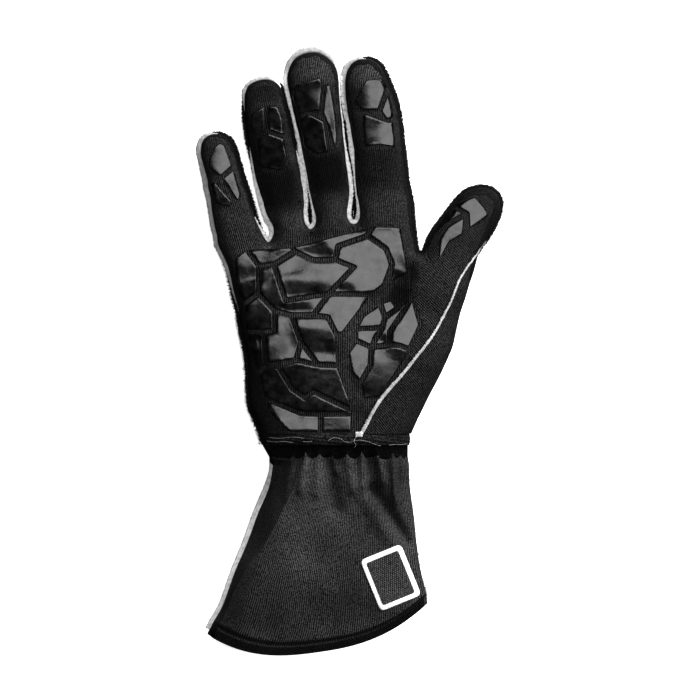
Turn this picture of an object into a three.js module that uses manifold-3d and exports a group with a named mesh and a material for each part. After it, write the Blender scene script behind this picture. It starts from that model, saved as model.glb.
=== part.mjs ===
// A right-hand gauntlet racing glove lying on its back, palm up.
// Millimetres. X points to the thumb side, Y to the fingertips, Z up out of the palm.
import * as THREE from "three";
import { mergeVertices } from "three/addons/utils/BufferGeometryUtils.js";
import Module from "manifold-3d";

const wasm = await Module();
wasm.setup();

// Cloth and seams
const CLOTH = 1.8; // thickness of the knitted wall with its lining
const GAP = 0.3; // clear space between neighbouring pieces
const SEAM_REACH = 2.5; // how far a finger's seam allowance stands out from its side
const DARK_REACH = { left: 1.3, right: 2.3 }; // of the dark layer, at a finger's two sides
const LIGHT_REACH = { left: 2.5, right: 1.6 }; // of the light layer under it
const SEAM_SHEET = 1.1; // thickness of one layer of seam allowance
const HAND_SEAM_HEIGHT = 9; // height of the side seams of hand and fingers
const HEM_SEAM_HEIGHT = 14; // height of the side seams at the cuff's mouth

// Levels along the glove
const HAND_END = -45.6; // the hand's cloth ends at the wrist seam
const BAND_END = -51.7; // lower edge of the wrist seam band
const ELASTIC_END = -58.2; // lower edge of the gathered elastic
const MOUTH = -165; // lowest point of the hem
const BAND_HEIGHT = 1.2; // how far the wrist seam band stands proud
const HEM_HEIGHT = 0.7; // how far the doubled hem stands proud on each side
const HEM_START = 0.08; // share of the last row's length that the cloth ends above the hem

// Silicone grip cells
const PRINT_HEIGHT = 0.6;
const CHANNEL = 2.4; // width of the bare cloth between two cells

// Light seams and piping
const THUMB_SEAM_HEIGHT = 1.5;
const PIPING_WIDTH = 3.1;
const PIPING_END = 0.6; // share of the row above the hem that the piping still runs along
const PATCH_HEIGHT = 0.7;

// Gathers under the elastic, which fan out down the cuff
const GATHERS = 9;
const GATHER_HEIGHT = 1.5;
const GATHER_FADE = 14;
const GATHERED_SHARE = 0.94; // of the cuff's half width, the rest being its rounded side
const CUFF_SIDE_SPOT = 0.985; // a last corner on that rounded side

// How slices bend
const BOW_FULLNESS = 2.6; // a slice's bow is fuller than a circle's
const FOLD_START = 1.5; // folds fade out towards the side seams

// Helpers for cutting
const BEYOND = 400; // side of a block that is larger than the glove
const OVER_FLOOR = 3; // prisms that cut the palm side start this far above the side seams
const OPEN_END = 1.5; // a tube's hollow runs half a row past its ends
const SHARPEST = 0.45; // limits how far a sharp corner moves when its sides move in
const WELD = 1e-4; // corners closer than this are one

const LOOKS = {
  knit: { color: 0x1b1b1d, roughness: 0.9, metalness: 0 },
  seam: { color: 0x101011, roughness: 0.95, metalness: 0 },
  light: { color: 0xd8d8d6, roughness: 0.85, metalness: 0 },
  elastic: { color: 0x0d0d0e, roughness: 0.95, metalness: 0 },
  silicone: { color: 0x4a4a4d, roughness: 0.3, metalness: 0 },
};

// Turns rows of values into objects named by the columns.
function table(columns, rows) {
  const names = columns.split(" ");
  return rows.map((row) => Object.fromEntries(names.map((name, i) => [name, row[i]])));
}

// Each row is a slice through a form: where its left and right sides are, seen from the
// palm side, and how high its top stands. A finger's sides include its seam allowance.
const SLICE = "leftX leftY rightX rightY top";

const FINGERS = {
  little: {
    tip: { x: -72.5, y: 119 },
    rows: table(SLICE, [
      [-65.5, 42.5, -43.5, 48, 15],
      [-72, 56.5, -46.5, 62.5, 16],
      [-78, 76, -50, 75.5, 16],
      [-81, 92.5, -55.5, 92.5, 15.5],
      [-83, 108, -60.5, 108, 14.5],
    ]),
  },
  ring: {
    tip: { x: -47.5, y: 148.5 },
    rows: table(SLICE, [
      [-42.5, 48, -24, 51.5, 16.5],
      [-43.5, 62.5, -23.5, 68.5, 17.5],
      [-50, 84.5, -25, 84.5, 17.5],
      [-55, 107.5, -28, 107.5, 17],
      [-59, 137, -35, 137, 16],
    ]),
  },
  middle: {
    tip: { x: -20, y: 165.5 },
    rows: table(SLICE, [
      [-20, 51.5, -1, 54.5, 16.5],
      [-21.5, 68.5, 0, 72.5, 18],
      [-23.5, 86, -0.5, 86, 18],
      [-27.5, 109.5, -2, 109.5, 17.5],
      [-34.5, 143, -3.5, 143, 16.5],
    ]),
  },
  index: {
    tip: { x: 9, y: 160 },
    rows: table(SLICE, [
      [3.5, 54.5, 32.5, 56.5, 16.5],
      [1.5, 72.5, 35.5, 69.5, 18],
      [1, 87, 33.5, 87, 18],
      [-0.5, 109.5, 30, 109.5, 17.5],
      [-2.5, 141, 25, 141, 16.5],
    ]),
  },
};

const THUMB = {
  tip: { x: 75.5, y: 89 },
  rows: table(SLICE, [
    [15, -1, 49, -17.5, 20],
    [23, 17.5, 58, 1, 22],
    [29, 32.5, 62, 16.5, 22],
    [35, 44.5, 68, 31.5, 21.5],
    [39.5, 55.5, 70, 43.5, 21],
    [46, 70, 72.5, 57, 20],
    [52.5, 79, 79.5, 65.5, 18.5],
    [57.5, 83.5, 82.5, 72, 17],
  ]),
};

const HAND_ROWS = table(SLICE, [
  [-45.5, -61, 32, -61, 25],
  [-47, -49, 32.5, -49, 25],
  [-50, -40.5, 35.5, -40.5, 25.5],
  [-54, -27, 42, -27, 26.5],
  [-55, -11, 50, -11, 27.5],
  [-58, 5.5, 55.5, 5.5, 27.5],
  [-61, 21.5, 51, 21.5, 26],
  [-63.5, 33.5, 43.5, 35, 24],
  [-65.5, 43.5, 37, 48, 21.5],
  [-67.5, 50, 34, 58.5, 18.5],
  [-54.5, 56, 30.5, 67, 14],
]);
const KNUCKLE_BOW = 4.4; // the hand's upper end bulges between the fingers

// The cuff's slices also bow down towards the mouth.
const CUFF_ROWS = table(SLICE + " bow", [
  [-45.5, -52, 32, -52, 23, 0],
  [-44.5, -55.5, 31.5, -55.5, 22, 0],
  [-43.5, -58.2, 31.5, -58.2, 23.5, 0],
  [-43, -63, 32, -63, 26, 0],
  [-45, -75, 32.5, -74, 29, -1],
  [-51, -89.5, 34.5, -88.5, 31.5, -2.5],
  [-56.5, -105, 36, -103, 33.5, -5],
  [-63, -121, 38, -117.5, 35, -8.5],
  [-69, -138, 40.5, -128, 36, -14],
  [-74.5, -148, 41.5, -132.5, 36.5, -18],
  [-77.5, -154, 42, -137.5, 36, -18],
]);

const CUFF_START = 3; // the rows before this one belong to the elastic

// Folds on the palm side: a ridge has a positive height, a valley a negative one.
const FOLDS = table("name fromX fromY toX toY width height", [
  ["cuff_side_valley", -37, -65, -60, -125, 8, -5],
  ["cuff_side_ridge", -24, -58, -67, -135, 4, 1.5],
  ["cuff_middle_valley", -11, -65, -6.5, -85, 6, -2.5],
  ["cuff_long_ridge", 9, -79, 27.5, -104, 5, 2.5],
  ["cuff_right_valley", 13, -70, 27, -86, 6, -3.5],
  ["cuff_short_ridge", 23.5, -59, 26, -82, 3, 1.5],
  ["thumb_base_crease", 31, 43, 17, 8, 6, -3],
  ["palm_arc_hollow", 12, 27, -1, -19, 7, -1.5],
]);

// The light seam that crosses the ball of the thumb, from the thumb's side to the wrist.
const THUMB_SEAM = table("x y width", [
  [74, 59, 1.6],
  [69, 52, 1.8],
  [63.5, 44.5, 2],
  [57, 32, 2.2],
  [49, 13.5, 2.4],
  [44, 6.5, 2.6],
  [36, -4, 2.8],
  [30, -11.5, 2.9],
  [18, -24.5, 2.9],
  [12.5, -33, 2.9],
  [8.5, -41, 3],
  [6.6, -45.3, 3.8],
]);

// The edge between the palm's cloth and the thumb's own panel.
const THUMB_PANEL_EDGE = table("x y", [
  [38, 56],
  [34.5, 48],
  [33.5, 29],
  [38.5, 13.5],
  [33, 1],
  [32, -4],
  [24, -17.5],
]);

// The grip print, charted by hand. Corners lie in the middle of the channels between
// cells, and each cell names its corners in order.
const PRINTS = {
  palm: {
    corners: {
      A: [-56.5, 55], B: [-49.5, 45.5], C: [-41.5, 46.5], D: [-30, 53.5], E: [-20, 49],
      F: [-8, 49], G: [-6.5, 56.5], H: [9, 62], I: [12.5, 67.5], J: [28, 67],
      K: [32, 41.5], L: [21, 36], M: [23, 46.5], N: [19.5, 55], O: [2, 45],
      P: [-11.5, 30.5], Q: [12, 30], R: [19, 35.5], S: [-35, 27], T: [-20, 19],
      U: [-41, 21.5], V: [-32, 19], W: [-12, 18], X: [-7.5, 9], Z: [-4, 9],
      a: [-50, 30.5], b: [-57.5, 25], c: [-58, 10], d: [-41, 10.5], e: [-47, 10],
      f: [-26.5, 4], g: [-29.5, -5.5], h: [-46, -8.5], i: [-17.5, -8], j: [-6.5, -8.5],
      l: [-55, 1], m: [-50, -13], n: [-39, -9], o: [-31.5, -21], p: [-24.5, -26],
      q: [-20, -22.5], r: [1.5, -33], s: [0.5, -28], t: [-46.5, -27], u: [-27, -35.5],
      v: [-16, -36], w: [1.5, -35.5], x: [1, -44.8], y: [-16, -44.8], z: [-33.5, -44.8],
      aa: [-43, -35], bb: [-63, 50], cc: [-62, 31.5], dd: [-31.5, 56], ee: [-17.5, 51.5],
    },
    cells: [
      "B C S P T V U a", "C D E F O P S", "G H N M R Q P O F", "I J K L M N H",
      "D ee F G H I dd", "A dd D C B", "bb A B a b cc", "b a U d e c", "U V f g h e d",
      "V W X j i f", "P Q Z X W T", "c e h m l", "f i g", "h n o p q r w v u t m",
      "n g i j s r q p o", "t u v y z aa", "v w x y",
    ],
  },
  thumb_ball: {
    corners: {
      A: [16.5, 25.5], B: [19, 18], C: [17.5, 12], D: [3.5, 11.5], E: [7, 18.5],
      F: [3.5, 5], G: [11.5, 1.5], H: [21, 3], I: [21.5, 10], J: [29.5, 22],
      K: [33.5, 29.5], L: [38, 13.5], M: [32, 0.5], N: [27, 2.5], O: [-1, -1.5],
      P: [0.5, -12], Q: [5.5, -18], R: [11, -8.5], S: [31, -3.5], T: [16.5, -26],
      U: [7.5, -26.5], V: [25.5, 22.5], X: [22.5, 27.5],
    },
    cells: [
      "A B C D E", "A X V B", "D C G F", "B V K J I H G C", "J K L M N H I",
      "F G R Q P O", "G H N M S T U Q R",
    ],
  },
  index: {
    corners: {
      A: [8.5, 147], B: [18, 148], C: [21, 142.5], D: [16, 129.5], E: [7, 129],
      F: [1.5, 135], G: [24.5, 132], H: [24.5, 125], I: [19.5, 124.5], K: [25.5, 109.5],
      L: [16.5, 111], M: [7.5, 110], N: [6.5, 125],
    },
    cells: ["A B C D E F", "C G H I D", "E D I H K L M N"],
  },
  middle: {
    corners: {
      A: [-30.5, 144], B: [-16, 148.5], C: [-14, 144], D: [-15.5, 129.5],
      E: [-27.5, 126.5], F: [-32, 137], G: [-10, 144.5], H: [-7, 127], I: [-6, 115],
      J: [-8.5, 107.5], K: [-13, 124], L: [-23, 129], N: [-18, 106], O: [-25.5, 110],
    },
    cells: ["A B C D L E F", "C G H I J K D", "E L D K J N O"],
  },
  ring: {
    corners: {
      A: [-54, 129], B: [-45.5, 133.5], C: [-45, 119], D: [-50.5, 115.5],
      E: [-54.5, 119.5], F: [-38.5, 132.5], G: [-36, 125], H: [-35.5, 115.5],
      J: [-33.5, 104.5], K: [-37, 97], L: [-49.5, 99],
    },
    cells: ["A B C D E", "B F G H C", "D C H J K L"],
  },
  little: {
    corners: {
      A: [-71, 113], B: [-67.5, 111.5], C: [-63, 99.5], D: [-70, 93.5], E: [-77, 98.5],
      F: [-77, 104.5], G: [-73.5, 111], H: [-58.5, 83.5], I: [-61, 80], K: [-76.5, 91.5],
      N: [-65, 77], O: [-73.5, 79],
    },
    cells: ["A B C D E F G", "C H I D", "E D I N O K"],
  },
  thumb: {
    corners: {
      A: [67.5, 84], B: [73, 78], C: [76.5, 73], D: [64, 65], E: [63.5, 74], F: [55, 78.5],
      I: [53, 68.5], J: [42.5, 60], K: [62, 63], L: [54, 58], M: [48, 47], N: [48, 61.5],
    },
    cells: ["A B C D E F", "F E I J", "E K L M N I"],
  },
};

// The rows that the outer seam allowance runs along, and its corners in the thumb's web
const SEAM_ROWS = { handFrom: 2, handTo: 9, fingerFrom: 1, thumbFrom: 5, thumbTo: -2 };
const WEB = { indexX: 36.5, thumbX: 40, y: 54.5 };

// The patch near the hem
const PATCH = { x: 22, y: -123.5, width: 24, height: 30, tilt: 22, corner: 3, border: 2.6 };

// Height of the side seams at a place along the glove.
function seamHeight(y) {
  const along = THREE.MathUtils.clamp((ELASTIC_END - y) / (ELASTIC_END - MOUTH), 0, 1);
  return THREE.MathUtils.lerp(HAND_SEAM_HEIGHT, HEM_SEAM_HEIGHT, along);
}

// Height that folds add to the palm side.
function foldHeight(x, y) {
  const here = new THREE.Vector3(x, y, 0);
  const nearest = new THREE.Vector3();
  let height = 0;
  for (const fold of FOLDS) {
    const from = new THREE.Vector3(fold.fromX, fold.fromY, 0);
    const to = new THREE.Vector3(fold.toX, fold.toY, 0);
    new THREE.Line3(from, to).closestPointToPoint(here, true, nearest);
    height += fold.height * Math.exp(-((here.distanceTo(nearest) / fold.width) ** 2));
  }
  return height;
}

// Height that the gathers add, where across runs from -1 to 1 over the cuff's width.
function gatherHeight(across, y) {
  const below = ELASTIC_END - y;
  if (below < 0) return 0;
  const wave = Math.cos((Math.PI * GATHERS * across) / GATHERED_SHARE);
  return GATHER_HEIGHT * wave * Math.exp(-below / GATHER_FADE);
}

// A row moved outwards by grow, or inwards where grow is negative.
function grownRow(row, grow) {
  const left = new THREE.Vector2(row.leftX, row.leftY);
  const right = new THREE.Vector2(row.rightX, row.rightY);
  const side = right.clone().sub(left).normalize().multiplyScalar(grow);
  left.sub(side);
  right.add(side);
  return {
    left,
    right,
    rise: row.top + grow,
    bow: row.bow ?? 0,
    share: 1,
  };
}

function rowMoved(row, x, y) {
  return {
    ...row,
    left: row.left.clone().add(new THREE.Vector2(x, y)),
    right: row.right.clone().add(new THREE.Vector2(x, y)),
  };
}

// A row between two others, or past the second where part is over 1.
function rowBetween(first, second, part) {
  const mix = (name) => THREE.MathUtils.lerp(first[name] ?? 0, second[name] ?? 0, part);
  return Object.fromEntries([...Object.keys(second)].map((name) => [name, mix(name)]));
}

// The rounded end of a finger: slices that shrink as an ellipse does.
const TIP_STEPS = [0.5, 0.82, 0.98];

function tipRows(last, tip, grow) {
  const centre = last.left.clone().add(last.right).multiplyScalar(0.5);
  const toTip = new THREE.Vector2(tip.x, tip.y).sub(centre);
  toTip.setLength(toTip.length() + grow);
  return TIP_STEPS.map((step) => {
    const share = Math.sqrt(1 - step * step);
    const middle = centre.clone().addScaledVector(toTip, step);
    const half = last.right.clone().sub(last.left).multiplyScalar(share / 2);
    return {
      ...last,
      left: middle.clone().sub(half),
      right: middle.clone().add(half),
      share,
    };
  });
}

// Places over the width of a slice, from -1 to 1, closer together where its side rounds.
function roundedSpots(count, squareness) {
  return Array.from({ length: count + 1 }, (_, i) => {
    const cosine = -Math.cos((Math.PI * i) / count);
    return Math.sign(cosine) * Math.abs(cosine) ** (2 / squareness);
  });
}

// Places over the cuff's width: one on each crest and in each valley of the gathers.
function gatheredSpots() {
  const steps = Array.from({ length: 2 * GATHERS + 1 }, (_, i) => i / GATHERS - 1);
  const inner = steps.map((step) => step * GATHERED_SHARE);
  return [-1, -CUFF_SIDE_SPOT, ...inner, CUFF_SIDE_SPOT, 1];
}

// The corners of one slice: along the top from left to right, then back under it.
function slicePoints(row, form, grow) {
  const floor = Math.max(0, -grow);
  const corner = (across, side) => {
    const spot = row.left.clone().lerp(row.right, (across + 1) / 2);
    const y = spot.y + row.bow * (1 - Math.abs(across) ** BOW_FULLNESS);
    const seam = seamHeight(y);
    const round = (1 - Math.abs(across) ** form.squareness) ** (1 / form.squareness);
    const lift = round * row.share;
    if (side < 0) {
      const depth = (seam + grow + form.sag) * lift;
      return new THREE.Vector3(spot.x, y, Math.max(floor, seam - depth));
    }
    const fold = foldHeight(spot.x, y) + form.gathered * gatherHeight(across, y);
    const rise = (row.rise - seam) * lift + fold * Math.min(1, FOLD_START * lift);
    return new THREE.Vector3(spot.x, y, seam + rise);
  };
  const top = form.spots.map((across) => corner(across, 1));
  const under = form.spots.filter((_, i) => i % 2 === 1 && i + 1 < form.spots.length);
  return [...top, ...under.reverse().map((across) => corner(across, -1))];
}

// Triangles that close a slice: they zip its top and its underside from left to right.
function capTriangles(slice, topCount) {
  const over = slice.slice(0, topCount).map((_, i) => i);
  const under = [0, ...slice.keys()].filter((i) => i === 0 || i >= topCount);
  const chain = [0, ...under.slice(2).reverse(), topCount - 1];
  const width = (i) => Math.hypot(slice[i].x - slice[0].x, slice[i].y - slice[0].y);
  const triangles = [];
  let i = 0;
  let j = 0;
  while (i + 1 < over.length || j + 1 < chain.length) {
    const overLeft = i + 1 < over.length;
    const underLeft = j + 1 < chain.length;
    const stepOver = !underLeft || (overLeft && width(over[i + 1]) <= width(chain[j + 1]));
    const triangle = [over[i], chain[j], stepOver ? over[i + 1] : chain[j + 1]];
    if (new Set(triangle).size === 3) triangles.push(triangle);
    if (stepOver) i += 1;
    else j += 1;
  }
  return triangles;
}

// A closed skin over slices with the same number of corners each.
function loft(slices, topCount) {
  const size = slices[0].length;
  const faces = [];
  const quad = (a, b, c, d) => faces.push(a, b, c, a, c, d);
  for (let s = 0; s + 1 < slices.length; s++) {
    for (let i = 0; i < size; i++) {
      const next = (i + 1) % size;
      quad(s * size + i, s * size + next, (s + 1) * size + next, (s + 1) * size + i);
    }
  }
  const end = (slices.length - 1) * size;
  for (const [a, b, c] of capTriangles(slices[0], topCount)) {
    faces.push(a, b, c);
  }
  for (const [a, b, c] of capTriangles(slices[slices.length - 1], topCount)) {
    faces.push(end + a, end + c, end + b);
  }
  const positions = slices.flat().flatMap((point) => point.toArray());
  return new THREE.BufferGeometry()
    .setAttribute("position", new THREE.Float32BufferAttribute(positions, 3))
    .setIndex(faces);
}

// Turns a closed geometry into a solid that can be joined and cut.
function solid(geometry) {
  const bare = geometry.clone();
  bare.deleteAttribute("normal");
  bare.deleteAttribute("uv");
  const merged = mergeVertices(bare, WELD);
  const made = new wasm.Manifold(
    new wasm.Mesh({
      numProp: 3,
      vertProperties: new Float32Array(merged.attributes.position.array),
      triVerts: new Uint32Array(merged.index.array),
    }),
  );
  if (made.volume() < 0) throw new Error("a form is inside out");
  return made;
}

function joined(solids) {
  return solids.reduce((all, one) => all.add(one));
}

// The rows of a finger or the thumb with its rounded end.
function fingerRows(form, grow) {
  const rows = form.rows.map((row) => {
    const wide = grownRow(row, grow - SEAM_REACH);
    wide.rise = row.top + grow;
    return wide;
  });
  const last = rows[rows.length - 1];
  return [...rows, ...tipRows(last, form.tip, grow - SEAM_REACH)];
}

// How a form's slices are rounded, and how far it would sink if the floor were not flat.
const FINGER_SHAPE = { spots: roundedSpots(6, 2.2), squareness: 2.2, sag: 1.2, gathered: 0 };
const HAND_SHAPE = { spots: roundedSpots(10, 2.8), squareness: 2.8, sag: 1.5, gathered: 0 };
const CUFF_SHAPE = { spots: gatheredSpots(), squareness: 2.5, sag: 1.5, gathered: 1 };
const ELASTIC_SHAPE = { spots: roundedSpots(14, 2.5), squareness: 2.5, sag: 1.5, gathered: 0 };

function skin(rows, shape, grow) {
  const slices = rows.map((row) => slicePoints(row, shape, grow));
  return solid(loft(slices, shape.spots.length));
}

function fingerSolid(form, grow) {
  return skin(fingerRows(form, grow), FINGER_SHAPE, grow);
}

function handSolid(grow) {
  const rows = HAND_ROWS.map((row) => grownRow(row, grow));
  const end = rows.length - 1;
  rows[end] = rowMoved(rows[end], 0, grow);
  rows[end].bow = KNUCKLE_BOW;
  return skin(rows, HAND_SHAPE, grow);
}

// The whole hand with its fingers, grown outwards or inwards.
function wholeHand(grow) {
  const fingers = Object.values(FINGERS).map((form) => fingerSolid(form, grow));
  return joined([handSolid(grow), fingerSolid(THUMB, grow), ...fingers]);
}

function cuffSolid(rows, shape, grow) {
  const grown = rows.map((row) => grownRow(row, grow));
  return skin(grown.reverse(), shape, grow);
}

// A block that holds everything between two levels along the glove.
function slab(lowY, highY) {
  const box = new THREE.BoxGeometry(BEYOND, highY - lowY, BEYOND);
  box.translate(0, (lowY + highY) / 2, 0);
  return solid(box);
}

// Everything above the side seams, starting a little over or under them.
function aboveSeams(lift) {
  const profile = new THREE.Shape();
  profile.moveTo(BEYOND, seamHeight(BEYOND) + lift);
  profile.lineTo(BEYOND, BEYOND);
  profile.lineTo(-BEYOND, BEYOND);
  profile.lineTo(-BEYOND, seamHeight(-BEYOND) + lift);
  profile.lineTo(MOUTH, seamHeight(MOUTH) + lift);
  profile.lineTo(ELASTIC_END, seamHeight(ELASTIC_END) + lift);
  const block = new THREE.ExtrudeGeometry(profile, { depth: BEYOND, bevelEnabled: false });
  // The profile's own axes become the glove's Y and Z.
  const toGlove = new THREE.Matrix4().makeBasis(
    new THREE.Vector3(0, 1, 0),
    new THREE.Vector3(0, 0, 1),
    new THREE.Vector3(1, 0, 0),
  );
  block.applyMatrix4(toGlove);
  block.translate(-BEYOND / 2, 0, 0);
  return solid(block);
}

// An upright prism over an outline in the plane of the palm.
function prism(points, low, high, hole) {
  const shape = new THREE.Shape(points.map(({ x, y }) => new THREE.Vector2(x, y)));
  if (hole) shape.holes.push(new THREE.Path(hole));
  const block = new THREE.ExtrudeGeometry(shape, { depth: high - low, bevelEnabled: false });
  block.translate(0, 0, low);
  return solid(block);
}

// An outline with every side moved inwards by the same distance.
function inset(points, distance) {
  const turned = THREE.ShapeUtils.area(points) < 0 ? -1 : 1;
  const count = points.length;
  return points.map((point, i) => {
    const before = points[(i + count - 1) % count];
    const after = points[(i + 1) % count];
    const sideIn = point.clone().sub(before).normalize();
    const sideOut = after.clone().sub(point).normalize();
    const normalIn = new THREE.Vector2(-sideIn.y, sideIn.x).multiplyScalar(turned);
    const normalOut = new THREE.Vector2(-sideOut.y, sideOut.x).multiplyScalar(turned);
    const middle = normalIn.clone().add(normalOut).normalize();
    const reach = distance / Math.max(SHARPEST, middle.dot(normalIn));
    return point.clone().addScaledVector(middle, reach);
  });
}

// Half a turn between two edges that run down to the same crotch.
function crotch(from, to) {
  const middle = from.clone().add(to).multiplyScalar(0.5);
  const arm = from.clone().sub(middle);
  return [0.25, 0.5, 0.75].map((part) =>
    middle.clone().add(arm.clone().rotateAround(new THREE.Vector2(), Math.PI * part)),
  );
}

// One edge of the seam allowance: up the hand's side, round each finger and the thumb.
// reach says how far it stands out on a finger's left side and on its right side.
function seamEdge(reach) {
  const outline = (form, first) => {
    const left = fingerRows(form, reach.left).slice(first);
    const right = fingerRows(form, reach.right).slice(first);
    return [...left.map((row) => row.left), ...right.reverse().map((row) => row.right)];
  };
  const handRows = HAND_ROWS.slice(SEAM_ROWS.handFrom, SEAM_ROWS.handTo);
  const edges = Object.values(FINGERS).map((form) => outline(form, SEAM_ROWS.fingerFrom));
  const thumb = outline(THUMB, SEAM_ROWS.thumbFrom).slice(0, SEAM_ROWS.thumbTo);
  const indexWeb = new THREE.Vector2(WEB.indexX + reach.right - SEAM_REACH, WEB.y);
  const thumbWeb = new THREE.Vector2(WEB.thumbX - reach.left + SEAM_REACH, WEB.y);
  edges[edges.length - 1].push(indexWeb);
  edges.push([thumbWeb, ...thumb]);
  const path = handRows.map((row) => grownRow(row, reach.left).left);
  edges.forEach((edge, i) => {
    if (i > 0) path.push(...crotch(path[path.length - 1], edge[0]));
    path.push(...edge);
  });
  return path;
}

// A flat strip between two edges.
function strip(inner, outer, low, high) {
  return prism([...inner, ...[...outer].reverse()], low, high);
}

// A strip of changing width along a line.
function ribbon(rows) {
  const line = new THREE.SplineCurve(rows.map(({ x, y }) => new THREE.Vector2(x, y)));
  const sides = { left: [], right: [] };
  rows.forEach((row, i) => {
    const along = line.getTangent(i / (rows.length - 1));
    const across = new THREE.Vector2(-along.y, along.x).multiplyScalar(row.width / 2);
    const spot = new THREE.Vector2(row.x, row.y);
    sides.left.push(spot.clone().add(across));
    sides.right.push(spot.clone().sub(across));
  });
  return [...sides.left, ...sides.right.reverse()];
}

function roundedRectangle(width, height, corner) {
  const shape = new THREE.Shape();
  const x = width / 2 - corner;
  const y = height / 2 - corner;
  shape.absarc(x, y, corner, 0, Math.PI / 2);
  shape.absarc(-x, y, corner, Math.PI / 2, Math.PI);
  shape.absarc(-x, -y, corner, Math.PI, 1.5 * Math.PI);
  shape.absarc(x, -y, corner, 1.5 * Math.PI, 2 * Math.PI);
  const centre = new THREE.Vector2(PATCH.x, PATCH.y);
  return shape.getPoints(1).map((point) =>
    point.rotateAround(new THREE.Vector2(), THREE.MathUtils.degToRad(PATCH.tilt)).add(centre),
  );
}

const glove = new THREE.Group();

function piece(name, form, look) {
  const mesh = form.getMesh();
  const geometry = new THREE.BufferGeometry()
    .setAttribute("position", new THREE.BufferAttribute(mesh.vertProperties, 3))
    .setIndex(new THREE.BufferAttribute(mesh.triVerts, 1));
  const made = new THREE.Mesh(geometry, new THREE.MeshStandardMaterial(LOOKS[look]));
  made.name = name;
  glove.add(made);
}

// The largest body of a form, without the slivers that a cut leaves beside it.
function mainBody(form) {
  const bodies = form.decompose();
  return bodies.reduce((most, body) => (body.volume() > most.volume() ? body : most));
}

const handSkin = wholeHand(0);
const handHollow = wholeHand(-CLOTH);
const clearOfHand = wholeHand(GAP);

// Hand panels
const seamLine = THUMB_SEAM.map(({ x, y }) => new THREE.Vector2(x, y));
const seamTop = seamLine[0];
const seamFoot = seamLine[seamLine.length - 1];
const palmSide = [
  ...seamLine,
  new THREE.Vector2(seamFoot.x, -BEYOND / 2),
  new THREE.Vector2(-BEYOND / 2, -BEYOND / 2),
  new THREE.Vector2(-BEYOND / 2, BEYOND / 2),
  new THREE.Vector2(BEYOND / 2, BEYOND / 2),
  new THREE.Vector2(BEYOND / 2, seamTop.y),
];
const aboveWrist = slab(HAND_END, BEYOND / 2);
const shell = handSkin.subtract(handHollow).intersect(aboveWrist);
const frontRegion = prism(inset(palmSide, GAP / 2), 0, BEYOND).intersect(aboveSeams(GAP / 2));
const backCut = prism(inset(palmSide, -GAP / 2), 0, BEYOND).intersect(aboveSeams(-GAP / 2));
const thumbEdge = THUMB_PANEL_EDGE.map(({ x, y }) => new THREE.Vector2(x, y));
const thumbSide = [
  ...thumbEdge,
  new THREE.Vector2(BEYOND / 2, thumbEdge[thumbEdge.length - 1].y),
  new THREE.Vector2(BEYOND / 2, BEYOND / 2),
  new THREE.Vector2(thumbEdge[0].x, BEYOND / 2),
];
const front = shell.intersect(frontRegion);
const thumbCut = prism(inset(thumbSide, -GAP / 2), 0, BEYOND);
const thumbRegion = prism(inset(thumbSide, GAP / 2), 0, BEYOND);
piece("palm_panel", mainBody(front.subtract(thumbCut)), "knit");
piece("thumb_panel", mainBody(front.intersect(thumbRegion)), "knit");
piece("back_panel", mainBody(shell.subtract(backCut)), "knit");

// Seam allowances round the fingers: a dark layer over a light one
const bodyEdge = seamEdge({ left: GAP, right: GAP });
const darkLow = HAND_SEAM_HEIGHT + GAP / 2;
const lightHigh = HAND_SEAM_HEIGHT - GAP / 2;
const darkSeam = strip(bodyEdge, seamEdge(DARK_REACH), darkLow, darkLow + SEAM_SHEET);
const lightSeam = strip(bodyEdge, seamEdge(LIGHT_REACH), lightHigh - SEAM_SHEET, lightHigh);
piece("finger_seam_front", mainBody(darkSeam.subtract(clearOfHand)), "seam");
piece("finger_seam_back", mainBody(lightSeam.subtract(clearOfHand)), "light");

// The light seam over the ball of the thumb
const overHand = wholeHand(THUMB_SEAM_HEIGHT).subtract(clearOfHand);
const seamPrism = prism(ribbon(THUMB_SEAM), HAND_SEAM_HEIGHT + OVER_FLOOR, BEYOND);
piece("thumb_seam", mainBody(overHand.intersect(seamPrism).intersect(aboveWrist)), "light");

// Wrist
const band = wholeHand(BAND_HEIGHT).subtract(handHollow);
piece("wrist_seam", mainBody(band.intersect(slab(BAND_END + GAP, HAND_END - GAP))), "seam");

// A tube of the cuff between two of its rows.
function cuffWall(rows, shape, grow) {
  const start = rowBetween(rows[1], rows[0], OPEN_END);
  const past = rowBetween(rows[rows.length - 2], rows[rows.length - 1], OPEN_END);
  const hollow = cuffSolid([start, ...rows.slice(1, -1), past], shape, -CLOTH - grow);
  return cuffSolid(rows, shape, grow).subtract(hollow);
}

const hemStart = CUFF_ROWS.length - 2;
const elasticRows = CUFF_ROWS.slice(0, CUFF_START);
const lastElastic = elasticRows[elasticRows.length - 1];
const firstCuff = CUFF_ROWS[CUFF_START];
const cuffTop = rowBetween(lastElastic, firstCuff, GAP / (lastElastic.leftY - firstCuff.leftY));
const cuffRows = [cuffTop, ...CUFF_ROWS.slice(CUFF_START, hemStart + 1)];
const cuffCloth = cuffWall(cuffRows, CUFF_SHAPE, 0);
piece("wrist_elastic", cuffWall(elasticRows, ELASTIC_SHAPE, 0), "elastic");
piece("cuff_front", mainBody(cuffCloth.intersect(aboveSeams(GAP / 2))), "knit");
piece("cuff_back", mainBody(cuffCloth.subtract(aboveSeams(-GAP / 2))), "knit");

// Hem
const hemEnd = CUFF_ROWS[hemStart + 1];
const hemTop = rowBetween(CUFF_ROWS[hemStart], hemEnd, HEM_START);
piece("hem_band", cuffWall([hemTop, hemEnd], CUFF_SHAPE, HEM_HEIGHT), "knit");

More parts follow.
